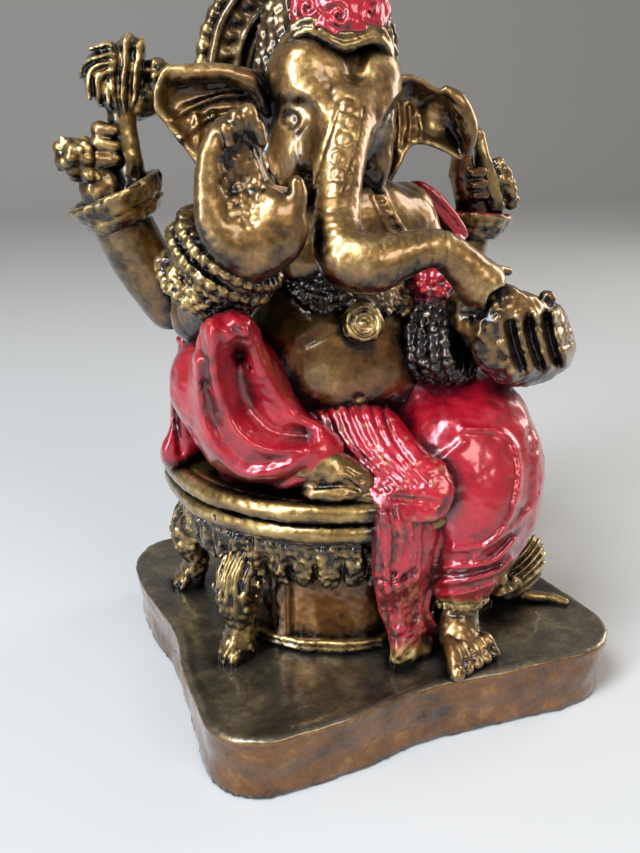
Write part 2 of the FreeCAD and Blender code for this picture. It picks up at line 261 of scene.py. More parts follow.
def plinth(p):
    size = half("plinth")
    x, y, z = p.T
    q = np.abs(p[:, :2]) - (size[:2] - PLINTH_CORNER)
    side = (np.linalg.norm(np.maximum(q, 0), axis=1) + np.minimum(q.max(axis=1), 0) - PLINTH_CORNER)
    side += 2.4 * bump(np.minimum(np.abs(x), np.abs(y)), 17.0)
    side += 2.2 * bump(np.hypot(x + size[0], y - size[1]), 16.0)
    side += 0.9 * (1 - z / PLINTH_TOP) + 0.35 * grain(p, 7.0) + 0.14 * grain(p, 1.8)
    side += 0.5 * bump(z - 5.0, 3.0) * (1 + grain(p, 11.0)) - 0.3 * bump(z - PLINTH_TOP, 1.4)
    lip = 0.35 * bump(side + 1.4, 1.0)
    brushed = grain(p * vec(0.35, 1.4, 1.0), 1.2)
    top = z - PLINTH_TOP - lip - 0.14 * grain(p, 9.0) - 0.07 * brushed
    return np.maximum(meet(side, top, 0.4), -z)


def around_throne(p):
    """Radius, angle and height about the throne's axis."""
    q = p - THRONE
    return np.hypot(q[:, 0], q[:, 1]), np.arctan2(q[:, 1], q[:, 0]), p[:, 2]


def band(r, z, outer, low, high, roundness):
    """Solid disc from the axis out to a rounded rim."""
    q = np.stack([r - outer + roundness, np.abs(z - (low + high) / 2) - (high - low) / 2 + roundness], axis=1)
    return np.linalg.norm(np.maximum(q, 0), axis=1) + np.minimum(q.max(axis=1), 0) - roundness


def throne_drum(p):
    r, angle, z = around_throne(p)
    low, high = limits("throne_drum")
    outer = half("throne_drum")[0]
    for pilaster in (222.0, 318.0, 138.0, 42.0):
        away = np.abs((np.degrees(angle) - pilaster + 180) % 360 - 180) * math.pi / 180 * 25
        outer = outer + 1.5 * np.clip(2.2 - away, 0, 1)
    d = band(r, z, outer, low[2] - 0.3, high[2], 0.6)
    return d + 0.2 * grain(p, 3.2) + 0.12 * grain(p, 0.9)


def moulding(node):
    """Round moulding with a groove at half its height."""
    def sculpt(p):
        r, _, z = around_throne(p)
        low, high = limits(node)
        outer = half(node)[0] + 0.3 * grain(p, 4.0)
        d = band(r, z, outer, low[2] - 0.2, high[2] - 0.4, 1.2)
        return d + 0.5 * bump(z - (low[2] + high[2]) / 2, 0.35) + 0.15 * grain(p, 1.2)
    return sculpt


def throne_leaf_fringe(p):
    r, angle, z = around_throne(p)
    low, high = limits("throne_leaf_fringe")
    height = high[2] - low[2]
    t = (z - low[2]) / height
    turn = angle * LOBES / (2 * math.pi) + 0.2 * grain(p, 5.0)
    across = np.abs(turn % 1 - 0.5) * 2
    pleat = np.abs((turn * 3) % 1 - 0.5) * 2
    lobe = np.sqrt(np.clip(1 - across ** 2, 0, 1))
    outer = 30.6 + 3.8 * t + 1.7 * lobe * bump(t - 0.1, 0.4) - 0.5 * bump(t - 0.84, 0.06)
    outer += 0.55 * pleat * bump(t - 0.55, 0.3) - 0.8 * bump(across - 1, 0.22) * bump(t - 0.2, 0.5)
    outer -= 1.0 * (pebbles(p, 1.6) - 0.45) + 0.5 * grain(p, 3.4)
    bottom = low[2] + 0.6 - 2.6 * lobe + 0.6 * grain(p, 4.0)
    return meet(meet(r - outer, bottom - z, 0.8), z - high[2], 0.3)


def seat_core(p):
    r, _, z = around_throne(p)
    low, _ = limits("seat_core")
    disc = band(r, z, half("seat_core")[0] + 0.3, low[2], SEAT_TOP - 0.4, 0.5)
    return disc + 0.2 * grain(p, 3.0)


def seat_rim(node, thin):
    """Rounded rim of the seat, pulled in by thin, with a ring groove and small pits."""
    def sculpt(p):
        r, _, z = around_throne(p)
        low, high = limits(node)
        outer = half(node)[0] + 0.5 * grain(p, 13.0) + 0.14 * grain(p, 3.0) - thin
        d = band(r, z, outer, low[2] + 0.15, high[2] - 0.1, 1.7)
        d += 0.45 * bump(r - outer + 3.1, 0.4) + 0.1 * grain(p, 0.9)
        return dig(d, pebbles(p, 7.0) * 7.0 - 0.5, 0.2)
    return sculpt


def throne_leg(p, angle):
    """Carved lion leg: curled knee, slim shank and broad paw."""
    turn = math.radians(angle)
    out = vec(math.cos(turn), math.sin(turn))
    q = p[:, :2] - THRONE[:2]
    local = np.stack([q @ out, q @ vec(-out[1], out[0]), p[:, 2] - PLINTH_TOP], axis=1)
    u, w, h = local.T
    d = tube(local, (27, 0, 23, 3.6), (31.5, 0, 18.5, 4.3), (33, 0, 13, 3.9), (32, 0, 7.5, 2.9),
             (33, 0, 3, 3.2), (34.5, 0, 0.4, 3.4))
    curl = np.hypot(u - 31.5, h - 17.5)
    d += 0.5 * np.cos(curl * 3.4) * bump(curl, 4.5) - 0.2
    d += 0.35 * np.cos(w * 4.2) * np.clip((h - 9) / 6, 0, 1)
    toes = np.abs((w / 2.0) % 1 - 0.5)
    d += 0.6 * bump(toes, 0.14) * bump(h - 0.5, 2.2)
    d -= 0.75 * (0.5 - pebbles(p, 1.9))
    return np.maximum(d, -h - 1.0)


def throne_legs(*angles):
    def sculpt(p):
        return np.minimum.reduce([throne_leg(p, angle) for angle in angles])
    return sculpt


# ---- body -----------------------------------------------------------------------------------

def hips(p):
    d = blob(p, (BODY_X, 3, 58), (24.5, 18.5, 13))
    folds = np.cos(np.arctan2(p[:, 1] - 3, p[:, 0] - BODY_X) * 13 + p[:, 2] * 0.25)
    return hand_made(p, d + 0.45 * folds * np.clip((p[:, 1] - 3) / 6, 0, 1), 0.25)


def belly(p):
    d = blob(p, middle("belly"), half("belly"))
    d = join(d, blob(p, (BODY_X, -7, 68), (17, 13.5, 10.5)), 3.0)
    navel = seen(p, -17.0) - vec(-7.1, 65.9)
    d += 1.1 * bump(np.hypot(navel[:, 0], navel[:, 1] * 1.3), 0.9)
    d -= 0.25 * bump(np.hypot(navel[:, 0], navel[:, 1] - 0.2), 2.4)
    d += 0.35 * bump(trace(seen(p, -17.0), (-19, 77), (-12, 79.5), (-2, 78), (6, 74)), 1.0)
    return hand_made(p, d)


def chest(p):
    d = blob(p, (BODY_X, 3, 92), (17.5, 12, 15))
    d = join(d, ball(p, (BODY_X - 16.0, 2.0, 97.5), 7.2), 3.0)
    d = join(d, blob(p, (BODY_X + 15.0, 0.0, 96.4), (9.0, 8.0, 8.0)), 6.0)
    d = join(d, blob(p, (BODY_X + 6, -4, 98.0), (8.0, 6.0, 9.0)), 5.0)
    for side in (-1, 1):
        d = join(d, blob(p, (BODY_X + side * 7, -6, 91), (7.5, 5, 6)), 2.0)
        d = join(d, blob(p, (BODY_X + side * 8, 11.5, 95), (6, 4, 8)), 3.0)
    spine = np.hypot(p[:, 0] - BODY_X, np.minimum(p[:, 1] - 15, 0))
    front = fade(p[:, 1], 4.0, 0.0)
    collar = trace(seen(p, -8.0), (-1, 108), (1.6, 102), (4.6, 97), (9, 92))
    d -= front * (0.35 * bump(collar - 1.2, 0.4) + 0.25 * np.cos(p[:, 2] * 3.6) * bump(collar, 0.8))
    return hand_made(p, d + 0.8 * bump(spine, 1.2))


# ---- head -----------------------------------------------------------------------------------

FACE_X = -7.2                                        # the face turns a little to its right
TRUNK = ((-6.9, -5.0, 121.5, 7.6), (-7.7, -9.6, 117.9, 6.6), (-9.1, -13.0, 114.7, 5.3),
         (-11.4, -16.5, 108.5, 4.6), (-13.0, -19.5, 103.1, 4.1), (-14.4, -22.5, 98.2, 4.5),
         (-14.0, -25.5, 94.3, 5.2), (-10.8, -28.0, 93.2, 5.2), (-7.0, -29.5, 94.1, 4.3),
         (-3.2, -30.5, 95.2, 3.6), (1.4, -31.0, 95.3, 3.4), (5.6, -31.7, 92.3, 3.7),
         (9.0, -32.3, 89.0, 4.5))


def head_and_trunk(p):
    d = blob(p, (FACE_X + 1.0, -1, 116.5), (11.8, 12.5, 12.5))
    d = join(d, ball(p, (FACE_X - 5.7, -5.6, 123.9), 7.3), 1.8)
    d = join(d, ball(p, (FACE_X + 5.7, -5.6, 123.1), 7.3), 1.8)
    for side, wide in ((-1, 5.2), (1, 3.6)):
        x = FACE_X + side * 7.4
        d = join(d, blob(p, (x, -5.0, 109.8), (wide, 6.6, 7.4)), 3.0)
        d = join(d, blob(p, (x, -7.0, 116.0), (3.6, 3.6, 4.4)), 2.4)
    d = join(d, tube(p, *TRUNK), 4.0)
    for side in (-1, 1):
        eye = (FACE_X + side * 9.9, -8.8, 116.4)
        near = np.linalg.norm((p - vec(*eye)) * vec(1.0, 1.0, 1.3), axis=1)
        d += 0.25 * bump(near - 1.6, 0.6) - 0.15 * bump(near - 2.8, 0.8)
        d = join(d, blob(p, (eye[0], eye[1] + 0.8, eye[2]), (1.2, 1.0, 0.8)), 0.6)
        brow = ((FACE_X + side * 4.6, -14.0, 117.4, 0.6), (FACE_X + side * 7.4, -12.4, 120.6, 0.9),
                (FACE_X + side * 10.4, -8.4, 121.2, 0.7))
        d = join(d, tube(p, *brow), 2.4)
    front = seen(p, -14.0)
    d += 1.3 * bump(trace(front, (-6.1, 131.0), (-6.4, 127.5), (-7.2, 124.0)), 1.8)
    for line in (((-10.6, 118.0), (-12.0, 114.0), (-13.4, 110.0), (-15.2, 103.0)),
                 ((-5.4, 118.0), (-6.0, 114.0), (-7.4, 109.5), (-9.2, 103.5))):
        d += 0.25 * bump(trace(front, *line), 0.35)
    for u, v in ((-8.6, 118.8), (-7.6, 116.0), (-9.0, 113.2), (-10.4, 110.2), (-10.0, 107.2)):
        d += 0.2 * bump(np.hypot((front[:, 0] - u) * 0.8, front[:, 1] - v) - 1.2, 0.3)
    for height in (101.5, 104.2, 107.0):
        wrinkle = trace(front, (-17.0, height + 0.8), (-12.6, height - 0.9), (-6.6, height + 1.0))
        d += 0.16 * bump(wrinkle, 0.3)
    under = seen(p, -29.0)
    for u in (-9.0, -5.5, -2.2, 0.8, 3.6):
        d += 0.12 * bump(trace(under, (u - 0.6, 90.0), (u + 0.3, 94.0), (u - 0.5, 98.5)), 0.3)
    mouth = blob(p, (11.4, -35.0, 86.4), (3.6, 3.6, 2.6), tilt=35)
    d = dig(d, mouth, 0.4)
    d = join(d, tube(p, (7.6, -32.0, 91.6, 0.6), (11.6, -32.2, 91.4, 0.9), (15.2, -31.6, 90.8, 0.8)), 0.6)
    return hand_made(p, d, 0.13)


EAR_RIGHT = ((-18.5, 124.3), (-22.2, 125.6), (-28.8, 125.8), (-36.3, 125.4), (-38.9, 122.2), (-39.3, 118.4),
             (-37.3, 115.4), (-33.8, 111.2), (-31.2, 107.6), (-28.0, 104.4), (-18.5, 106.0), (-15.0, 115.0))
EAR_LEFT = ((4.0, 122.0), (8.0, 123.6), (11.8, 125.4), (15.3, 125.0), (19.6, 123.0), (24.2, 121.2),
            (27.2, 116.0), (28.7, 112.2), (26.2, 108.8), (22.1, 110.6), (18.2, 111.9), (15.0, 112.0),
            (13.0, 110.3), (11.0, 106.8), (8.0, 103.6), (3.0, 107.0))


def ear(p, outline, depth, folds, roll):
    """Thin flap inside an outline, with its rim rolled forwards and folds down its hollow."""
    uv = seen(p, depth)
    edge = shape(uv, *outline)
    dish = depth - 2.8 * bump(edge, 2.6) + 0.35 * grain(p, 3.0)
    flap = meet(edge, np.abs(p[:, 1] - dish) - 1.1, 0.6)
    for fold in folds:
        flap -= 0.9 * bump(trace(uv, *fold), 0.7) * (p[:, 1] < dish)
    flap = join(flap, tube(p, *roll), 0.7)
    return hand_made(p, flap, 0.18)


def ear_right(p):
    folds = (((-21, 121), (-27, 120.5), (-33, 118.5), (-36, 116.5)),
             ((-23, 118), (-29, 117), (-34.5, 113.5)),
             ((-31.6, 117.0), (-31.4, 113.4), (-31.6, 109.4)),
             ((-28.5, 117.5), (-28.6, 112.0), (-29.4, 107.0)))
    roll = ((-19.4, -1.5, 118.0, 1.0), (-21.6, -2.2, 121.8, 1.5), (-25.4, -2.2, 123.9, 1.7),
            (-31, -1.6, 124.2, 1.7), (-36.8, -0.6, 123.8, 1.4))
    return ear(p, EAR_RIGHT, 1.6, folds, roll)


def ear_left(p):
    folds = (((8.4, 120.5), (8.9, 114.8), (8.4, 108.5)), ((10.8, 119.8), (11.3, 115.6), (10.8, 111.0)),
             ((13.4, 119.2), (13.8, 115.7), (13.3, 113.2)), ((16.0, 117.6), (16.6, 115.0), (16.4, 113.4)))
    roll = ((19.6, -0.6, 122.4, 1.0), (21.6, -1.4, 120.4, 1.9), (23.4, -1.6, 117.6, 2.2),
            (24.8, -1.2, 114.2, 2.1), (25.4, -0.2, 110.6, 1.2))
    d = ear(p, EAR_LEFT, 3.2, folds, roll)
    uv = seen(p, 0.0)
    for i in range(4):
        vein = trace(uv, (20.4 + 0.5 * i, 121.0 - 2.4 * i), (23.8 + 0.2 * i, 118.8 - 2.0 * i))
        d += 0.25 * bump(vein, 0.35) * (p[:, 1] < 0)
    return dig(d, blob(p, (18.2, 0.6, 117.2), (3.0, 3.0, 3.8), tilt=-20), 1.0)


def right_tusk(p):
    d = tube(p, (-12.0, -9.5, 107.8, 2.0), (-13.6, -13.5, 106.6, 1.6), (-14.6, -17.0, 105.6, 1.0))
    return hand_made(p, d, 0.06)


# ---- headdress ------------------------------------------------------------------------------

BAND_RADIUS = 13.2


def hairline(x, y):
    """Height at which the headdress starts: waves over both domes, and lower at the sides and back."""
    u = (x - EYE[0]) * (-7 - EYE[1]) / (y - EYE[1]) + EYE[0]
    across = (-23, -20.1, -17.8, -15.7, -13.6, -10.7, -8.3, -6.6, -4.4, -1.6, 0.7, 2.6, 3.9, 8)
    heights = (117, 123.8, 127.3, 130.2, 130.9, 130.4, 129, 128.3, 128.7, 129.9, 129.9, 128.2, 124.9, 117)
    wave = np.interp(u, across, heights)
    return np.where(y < 1, wave, 119.0).astype(np.float32)


def headband(p):
    """Wavy band that follows both domes of the forehead, then runs round the back."""
    path = []
    for turn in range(-110, 111, 10):
        place = math.radians(turn)
        x = CROWN_AXIS[0] + BAND_RADIUS * math.sin(place)
        y = CROWN_AXIS[1] - BAND_RADIUS * math.cos(place)
        path.append((x, y, hairline(x, y), 1.0))
    d = tube(p, *path, steps=2)
    upper = p - vec(0, 0, 1.7)
    return join(d, tube(upper, *path, steps=2) + 0.2, 0.4) + 0.12 * grain(p, 1.0)


def crown_radius(z):
    """Profile of the crown: bulging tiers that step in towards the bud on top."""
    heights = (118, 124, 128, 132, 136, 138.6, 139.6, 143, 147, 149.6, 150.6, 152.6, 154.6, 156)
    radii = (12.6, 13.2, 13.2, 12.6, 11.4, 9.4, 8.0, 7.4, 6.0, 4.2, 2.8, 3.2, 2.0, 0.2)
    return np.interp(z, heights, radii).astype(np.float32)


def crown(low, high):
    def sculpt(p):
        q = p - CROWN_AXIS
        r, angle, z = np.hypot(q[:, 0], q[:, 1]), np.arctan2(q[:, 1], q[:, 0]), p[:, 2]
        d = (r - crown_radius(z)) * 0.85
        strand = np.cos(angle * 26 + z * 0.9)
        d += 0.28 * strand - 0.9 * (0.5 - pebbles(p, 1.7))
        d += 0.5 * bump(z - 139.2, 0.5) + 0.5 * bump(z - 150.2, 0.4)
        floor = np.maximum(low, hairline(p[:, 0], p[:, 1]) + 0.2)
        return meet(meet(d, z - high, 0.5), floor - z, 0.5)
    return sculpt


def crown_plaque(p):
    """Red lacquered plaque with swirling filigree, laid round the front of the crown."""
    q = p - CROWN_AXIS
    r = np.hypot(q[:, 0], q[:, 1])
    uv = seen(p, -10.5) + vec(2.4, 0.0)
    edge = shape(uv, (-15.4, 134.0), (-15.2, 131.6), (-11.4, 131.9), (-6.8, 130.2), (-2.6, 131.2),
                 (2.6, 132.2), (3.6, 136.0), (1.6, 140.5), (-2.0, 144.0), (-6.6, 147.4), (-10.6, 144.2),
                 (-14.4, 140.4))
    d = meet(r - crown_radius(p[:, 2]) - 1.5, edge, 0.8)
    d = np.maximum(d, p[:, 1] + 1.0)
    for cu, cv in ((-12.4, 134.6), (-0.2, 134.4), (-9.4, 138.4), (-3.6, 138.6), (-6.4, 133.6), (-6.5, 142.6)):
        swirl = np.hypot(uv[:, 0] - cu, uv[:, 1] - cv)
        twist = np.arctan2(uv[:, 1] - cv, uv[:, 0] - cu)
        d -= 0.5 * np.cos(swirl * 3.2 - twist) * bump(swirl, 2.2)
    return d + 0.4 * grain(p, 1.3)


def around_halo(p):
    return np.hypot(p[:, 0] - HALO[0], p[:, 2] - HALO[2]), np.arctan2(p[:, 2] - HALO[2], p[:, 0] - HALO[0])


def halo_disc(p):
    r, angle = around_halo(p)
    front = p[:, 1] - (HALO[1] - 1.2)
    size = half("halo_disc")[0]
    flutes = 0.35 * np.cos(angle * 30 + 0.6 * np.sin(r)) * bump(r - size + 3.2, 1.4)
    rings = 0.8 * bump(r - size + 0.6, 0.7) + 0.6 * bump(r - size + 5.6, 0.6)
    rings -= 0.4 * bump(r - size + 7.4, 0.6)
    d = meet(r - size - 0.3, np.abs(front + 0.3) - 1.5 - rings - flutes, 0.4)
    hair = 0.2 * np.cos(r * 5.5 + 2 * grain(p, 6.0)) * (r < size - 8)
    return d + hair + 0.12 * grain(p, 1.1)


def halo_bead_ring(p):
    r, angle = around_halo(p)
    size = half("halo_bead_ring")[0] - 1.8
    beads = 42
    turn = angle * beads / (2 * math.pi) + 0.06 * np.sin(angle * 5)
    slip = (turn % 1 - 0.5) * 2 * math.pi * size / beads
    bead = np.sqrt((r - size) ** 2 + (1.1 * slip) ** 2 + (p[:, 1] - HALO[1] + 0.4) ** 2) - 1.75
    wire = np.hypot(r - size, p[:, 1] - HALO[1]) - 1.3
    return join(bead, wire, 0.5) + 0.16 * grain(p, 1.0)


# ---- jewellery ------------------------------------------------------------------------------

def bracelet(p, a, b, radius, rows, wire):
    """Rows of knobbly beads round the line from a to b."""
    a, b = vec(*a), vec(*b)
    run = b - a
    length = float(np.linalg.norm(run))
    axis = run / length
    side = np.cross(axis, vec(0.1, 0.2, 1.0))
    side /= np.linalg.norm(side)
    up = np.cross(axis, side)
    q = p - a
    t = q @ axis
    angle = np.arctan2(q @ up, q @ side)
    r = np.hypot(q @ up, q @ side)
    around = 2 * math.pi * radius / (wire * 1.5)
    best = meet(r - radius + 0.4, np.abs(t - length / 2) - length / 2, 0.5)
    for row in range(rows):
        shift = (angle * round(around) / (2 * math.pi) + 0.5 * (row % 2)) % 1 - 0.5
        slip = shift * wire * 1.5
        height = t - length * (row + 0.5) / rows
        best = join(best, np.sqrt(slip ** 2 + height ** 2 + (r - radius) ** 2) - wire, 0.6)
    return best + 0.4 * (pebbles(p, 1.1) - 0.45) + 0.25 * grain(p, 2.4)


def right_front_bracelet(p):
    """Two beaded ropes with a broad granular band below them."""
    ropes = bracelet(p, (-33.4, -13.8, 92.0), (-31.0, -16.6, 96.6), 9.4, 2, 1.35)
    base = bracelet(p, (-36.0, -11.0, 87.4), (-33.2, -14.0, 92.2), 8.4, 3, 1.2)
    return join(ropes, base + 0.5 * (pebbles(p, 1.7) - 0.5), 0.4)


def left_front_bracelet(p):
    return bracelet(p, (7.4, -15.5, 75.0), (12.6, -24.0, 76.4), 7.0, 4, 1.3)


def left_anklet(p):
    return bracelet(p, (11.0, -27.6, 22.6), (11.2, -27.2, 25.4), 5.6, 2, 0.95)


WRIST_RADIUS = 5.6


def cuff(low, high, wide):
    """Flared dish-shaped cuff round a wrist."""
    def sculpt(p):
        a, b = vec(*low), vec(*high)
        axis = (b - a) / np.linalg.norm(b - a)
        t = (p - a) @ axis
        r = np.linalg.norm(p - a - t[:, None] * axis, axis=1)
        length = float(np.linalg.norm(b - a))
        flare = np.clip(t / length, 0, 1) ** 0.6
        outer = WRIST_RADIUS + (wide - WRIST_RADIUS) * flare + 0.5 * grain(p, 4.0)
        d = meet((r - outer) * 0.8, np.abs(t - length / 2) - length / 2, 1.2)
        d = dig(d, meet(r - outer + 2.2, length - 1.3 - t, 0.4), 0.4)
        return d + 0.25 * grain(p, 1.2) + 0.25 * bump(t - length * 0.45, 0.4)
    return sculpt


def necklace(p):
    """Granular bands that hang from the shoulders over the chest, with a beaded patch at its left."""
    uv = seen(p, -14.0)
    torso = join(blob(p, (BODY_X, 3, 92), (17.5, 12, 15)), blob(p, middle("belly"), half("belly")), 4.0)
    bands = np.full(len(p), 9.0, np.float32)
    for drop, width in ((0.0, 2.6), (-4.0, 2.4), (-6.4, 1.4)):
        line = trace(uv, (-24, 104 + drop * 0.3), (-20, 96 + drop), (-13, 90.0 + drop),
                     (-5, 87.5 + drop * 0.4), (4, 88.0 + drop), (11, 92 + drop), (15, 99 + drop * 0.3))
        bands = np.minimum(bands, line - width)
    d = meet(torso - 1.5, bands, 0.8)
    d = meet(d, -(torso + 3.0), 0.5)
    d = np.maximum(d, p[:, 1] + 1.0)
    return d + 1.1 * (pebbles(p, 1.6) - 0.5) + 0.35 * grain(p, 3.0)


def medallion(p):
    """Round ornament on the chest: rings within rings."""
    centre = vec(-8.2, -20.6, 81.2)
    facing = vec(-0.22, -0.93, 0.28)
    facing /= np.linalg.norm(facing)
    q = p - centre
    out = q @ facing
    r = np.linalg.norm(q - out[:, None] * facing, axis=1)
    d = meet(r - 3.9, np.abs(out) - 0.9, 0.8)
    d -= 0.5 * bump(r - 3.0, 0.4) + 0.4 * bump(r - 1.7, 0.35) + 0.8 * bump(r, 0.7)
    return d + 0.25 * grain(p, 0.9)


# ---- arms and hands -------------------------------------------------------------------------

def limb(*points, amount=0.1):
    def sculpt(p):
        return hand_made(p, tube(p, *points), amount)
    return sculpt


def right_front_hand(p):
    """Raised palm: smooth outer edge, thumb mound, rough hollow and fingertips curled over it."""
    uv = seen(p, -23.0)
    edge = shape(uv, (-38.0, 109.4), (-38.8, 106.0), (-39.0, 100.9), (-37.8, 97.5), (-34.6, 93.3),
                 (-29.7, 90.9), (-25.2, 93.0), (-21.9, 97.3), (-21.5, 101.7), (-22.4, 105.4),
                 (-25.8, 106.4), (-27.4, 109.5), (-28.4, 114.0), (-28.8, 118.0), (-30.8, 118.6),
                 (-33.0, 117.0), (-35.4, 114.4), (-37.4, 111.6))
    back = -21.6 + 0.1 * (p[:, 2] - 100)
    d = meet(edge, np.abs(p[:, 1] - back) - 2.8, 2.4)
    d = join(d, blob(p, (-30.2, -22.8, 98.6), (8.2, 4.8, 7.6), turn=-20), 2.0)
    d = dig(d, blob(p, (-31.2, -28.6, 108.6), (4.2, 3.4, 7.0), turn=-22), 3.0)
    d = join(d, tube(p, (-34.4, -22.6, 115.0, 1.2), (-36.4, -23.2, 112.0, 1.4), (-37.2, -23.6, 107.4, 1.6),
                     (-37.0, -24.2, 101.5, 2.0), (-34.6, -24.6, 97.4, 2.6), (-30.0, -24.8, 95.4, 3.0)), 3.0)
    d = join(d, blob(p, (-26.0, -25.4, 99.6), (4.2, 2.8, 4.8), turn=-20), 3.0)
    for x, z, r in ((-34.6, 114.8, 1.2), (-33.0, 116.4, 1.4), (-31.0, 117.0, 1.5), (-29.4, 114.9, 1.3)):
        fingertip = tube(p, (x, -22.4, z - 1.0, r), (x + 0.3, -24.4, z, r),
                         (x + 0.8, -24.6, z - 2.0, r - 0.4))
        d = join(d, fingertip, 0.6)
    thumb = tube(p, (-24.4, -26.0, 101.5, 2.2), (-23.4, -26.6, 104.6, 1.7), (-23.6, -26.8, 106.6, 1.2))
    d = join(d, thumb, 1.0)
    inner = shape(uv, (-35.4, 104), (-35.6, 111), (-32, 115), (-28, 113), (-27.4, 103), (-31, 99.0))
    hollow = fade(inner + 0.6 * grain(p, 2.5), 0.5, -1.5)
    return hand_made(p, d, 0.14) + hollow * (0.45 * (pebbles(p, 1.3) - 0.5) + 0.25 * grain(p, 1.8))


def left_front_hand(p):
    """Cupped hand: four fingers curled up side by side, with the thumb laid over them."""
    uv = seen(p, -32.0)
    edge = shape(uv, (11.0, 87.0), (15.0, 87.8), (19.0, 86.6), (22.5, 85.0), (26.0, 84.4), (28.6, 82.0),
                 (31.0, 77.6), (31.8, 75.0), (30.4, 72.6), (27.6, 70.2), (24.0, 69.2), (19.6, 69.0),
                 (15.2, 69.8), (12.2, 72.0), (8.8, 75.4), (8.0, 80.7), (9.6, 84.0))
    d = meet(edge, np.abs(p[:, 1] + 27.6) - 7.0, 5.0)
    thumb = tube(p, (8.6, -26.0, 84.0, 2.6), (12.6, -31.2, 86.2, 3.0), (17.2, -33.0, 84.4, 2.6),
                 (21.4, -33.2, 83.6, 1.8))
    d = join(d, thumb, 1.2)
    d = join(d, tube(p, (9.4, -27.0, 81.6, 2.6), (10.8, -30.8, 78.6, 2.8), (12.0, -31.6, 75.2, 2.4)), 0.8)
    front = p[:, 1] < -26
    for i in range(4):
        u = 12.4 + 4.1 * i
        finger = trace(uv, (u + 1.4, 82.2), (u + 2.8, 77.6), (u + 5.2, 72.2))
        d -= 1.2 * bump(finger, 1.3) * front
        if i < 3:
            gap = trace(uv, (u + 3.6, 81.0 + 0.5 * i), (u + 5.0, 77.2), (u + 7.2, 73.0))
            d += 1.3 * bump(gap + 0.25 * grain(p, 2.0), 0.8) * front
    for line in (((13.4, 78.6), (20.0, 80.2), (28.0, 79.8)), ((15.8, 74.8), (22.0, 75.8), (29.6, 76.0))):
        d += 0.35 * bump(trace(uv, *line), 0.5) * front
    d = join(d, ball(p, (25.2, -30.6, 84.9), 1.7), 0.4)
    return hand_made(p, d, 0.3) - 0.35 * (0.5 - pebbles(p, 1.9)) * front


def sweets(p):
    d = blob(p, (20.5, -28.4, 83.6), (4.6, 4.0, 2.8))
    return d + 0.35 * (pebbles(p, 1.8) - 0.5)


def right_rear_hand(p):
    """Fist beside the stem of the lotus, knuckles towards the side."""
    d = tube(p, (-47.6, 7.6, 102.0, 4.4), (-48.8, 7.6, 105.0, 4.0), (-48.6, 7.8, 108.0, 3.0))
    for i in range(3):
        z = 109.2 + i * 2.5
        knuckle = (-49.4 + 0.4 * i, 5.8, z + 0.5, 1.9 - 0.2 * i)
        d = join(d, tube(p, (-46.4, 9.6, z, 1.4), knuckle, (-46.4, 4.2, z + 0.4, 1.2)), 0.5)
    return hand_made(p, d, 0.3)


def lotus_sceptre(p):
    """Stem with a fan of ribbed petals, a small side flower and a knobbly bud at the hand."""
    d = tube(p, (-43.2, 6.6, 103.0, 3.0), (-43.4, 6.2, 109.0, 2.6), (-44.0, 6.6, 115.0, 2.5),
             (-44.0, 7.0, 118.6, 2.8))
    uv = seen(p, 8.0)
    fan = shape(uv, (-42.9, 118.0), (-46.6, 118.6), (-49.6, 120.6), (-50.4, 123.6), (-49.2, 127.2),
                (-46.6, 129.0), (-43.6, 129.8), (-41.4, 130.9), (-39.3, 130.4), (-39.2, 126.0),
                (-39.6, 121.0))
    petals = meet(fan, np.abs(p[:, 1] - 7.4) - 3.8, 2.8)
    swirl = np.hypot(uv[:, 0] + 45.0, (uv[:, 1] - 120.0) * 0.8) + 1.2 * grain(p, 4.0)
    ribs = np.arctan2(uv[:, 0] + 44.0, uv[:, 1] - 110.0) + 0.05 * grain(p, 3.0)
    left = fade(uv[:, 0], -43.6, -46.6)
    petals += 0.4 * np.cos(swirl * 3.4) * left + 0.5 * np.cos(ribs * 40) * (1 - left)
    petals += 0.5 * (pebbles(p, 2.2) - 0.5)
    d = join(d, petals, 0.8)
    flower = blob(p, (-37.4, 7.0, 123.6), (3.0, 3.2, 3.6)) + 1.0 * (pebbles(p, 2.2) - 0.5)
    d = join(d, flower, 0.4)
    d = join(d, blob(p, (-40.6, 7.0, 119.4), (4.2, 3.0, 2.8)) + 0.6 * (pebbles(p, 2.2) - 0.5), 0.5)
    knob = blob(p, (-53.0, 6.0, 110.2), (3.9, 3.4, 3.5))
    knob = join(knob, tube(p, (-51.0, 6.6, 108.0, 3.0), (-49.6, 7.2, 106.4, 3.0)), 1.0)
    d = np.minimum(d, knob - 1.6 * (0.5 - pebbles(p, 2.4)))
    return d + 0.18 * grain(p, 1.2)


def left_rear_hand(p):
    """Slim closed hand that rises from the cuff towards the ear."""
    d = tube(p, (34.4, 10, 97.0, 3.6), (32.6, 10, 101.6, 3.2), (31.2, 10.0, 105.4, 3.0),
             (30.6, 9.6, 109.0, 2.4))
    for i in range(3):
        z = 101.0 + 2.4 * i
        d = join(d, tube(p, (32.4 - 0.5 * i, 6.8, z, 1.1), (35.6 - 0.5 * i, 7.6, z + 0.3, 1.3)), 0.4)
    return hand_made(p, d, 0.22)


def goad_blade(p):
    """Pale upright blade with a cluster of beads on its outer edge."""
    d = tube(p, (39.6, 9.0, 98.4, 2.4), (37.6, 8.8, 103.4, 2.4), (35.8, 9.0, 108.6, 2.0),
             (34.8, 9.6, 112.6, 1.5))
    d = join(d, ball(p, (34.4, 9.6, 114.0), 1.5), 0.3)
    beads = tube(p, (43.6, 9.2, 99.4, 1.9), (42.2, 9.0, 103.4, 2.3), (40.0, 9.2, 107.2, 1.8))
    return join(d, beads + 1.3 * (pebbles(p, 2.2) - 0.5), 0.5) + 0.25 * grain(p, 1.6)


# ---- cloth ----------------------------------------------------------------------------------

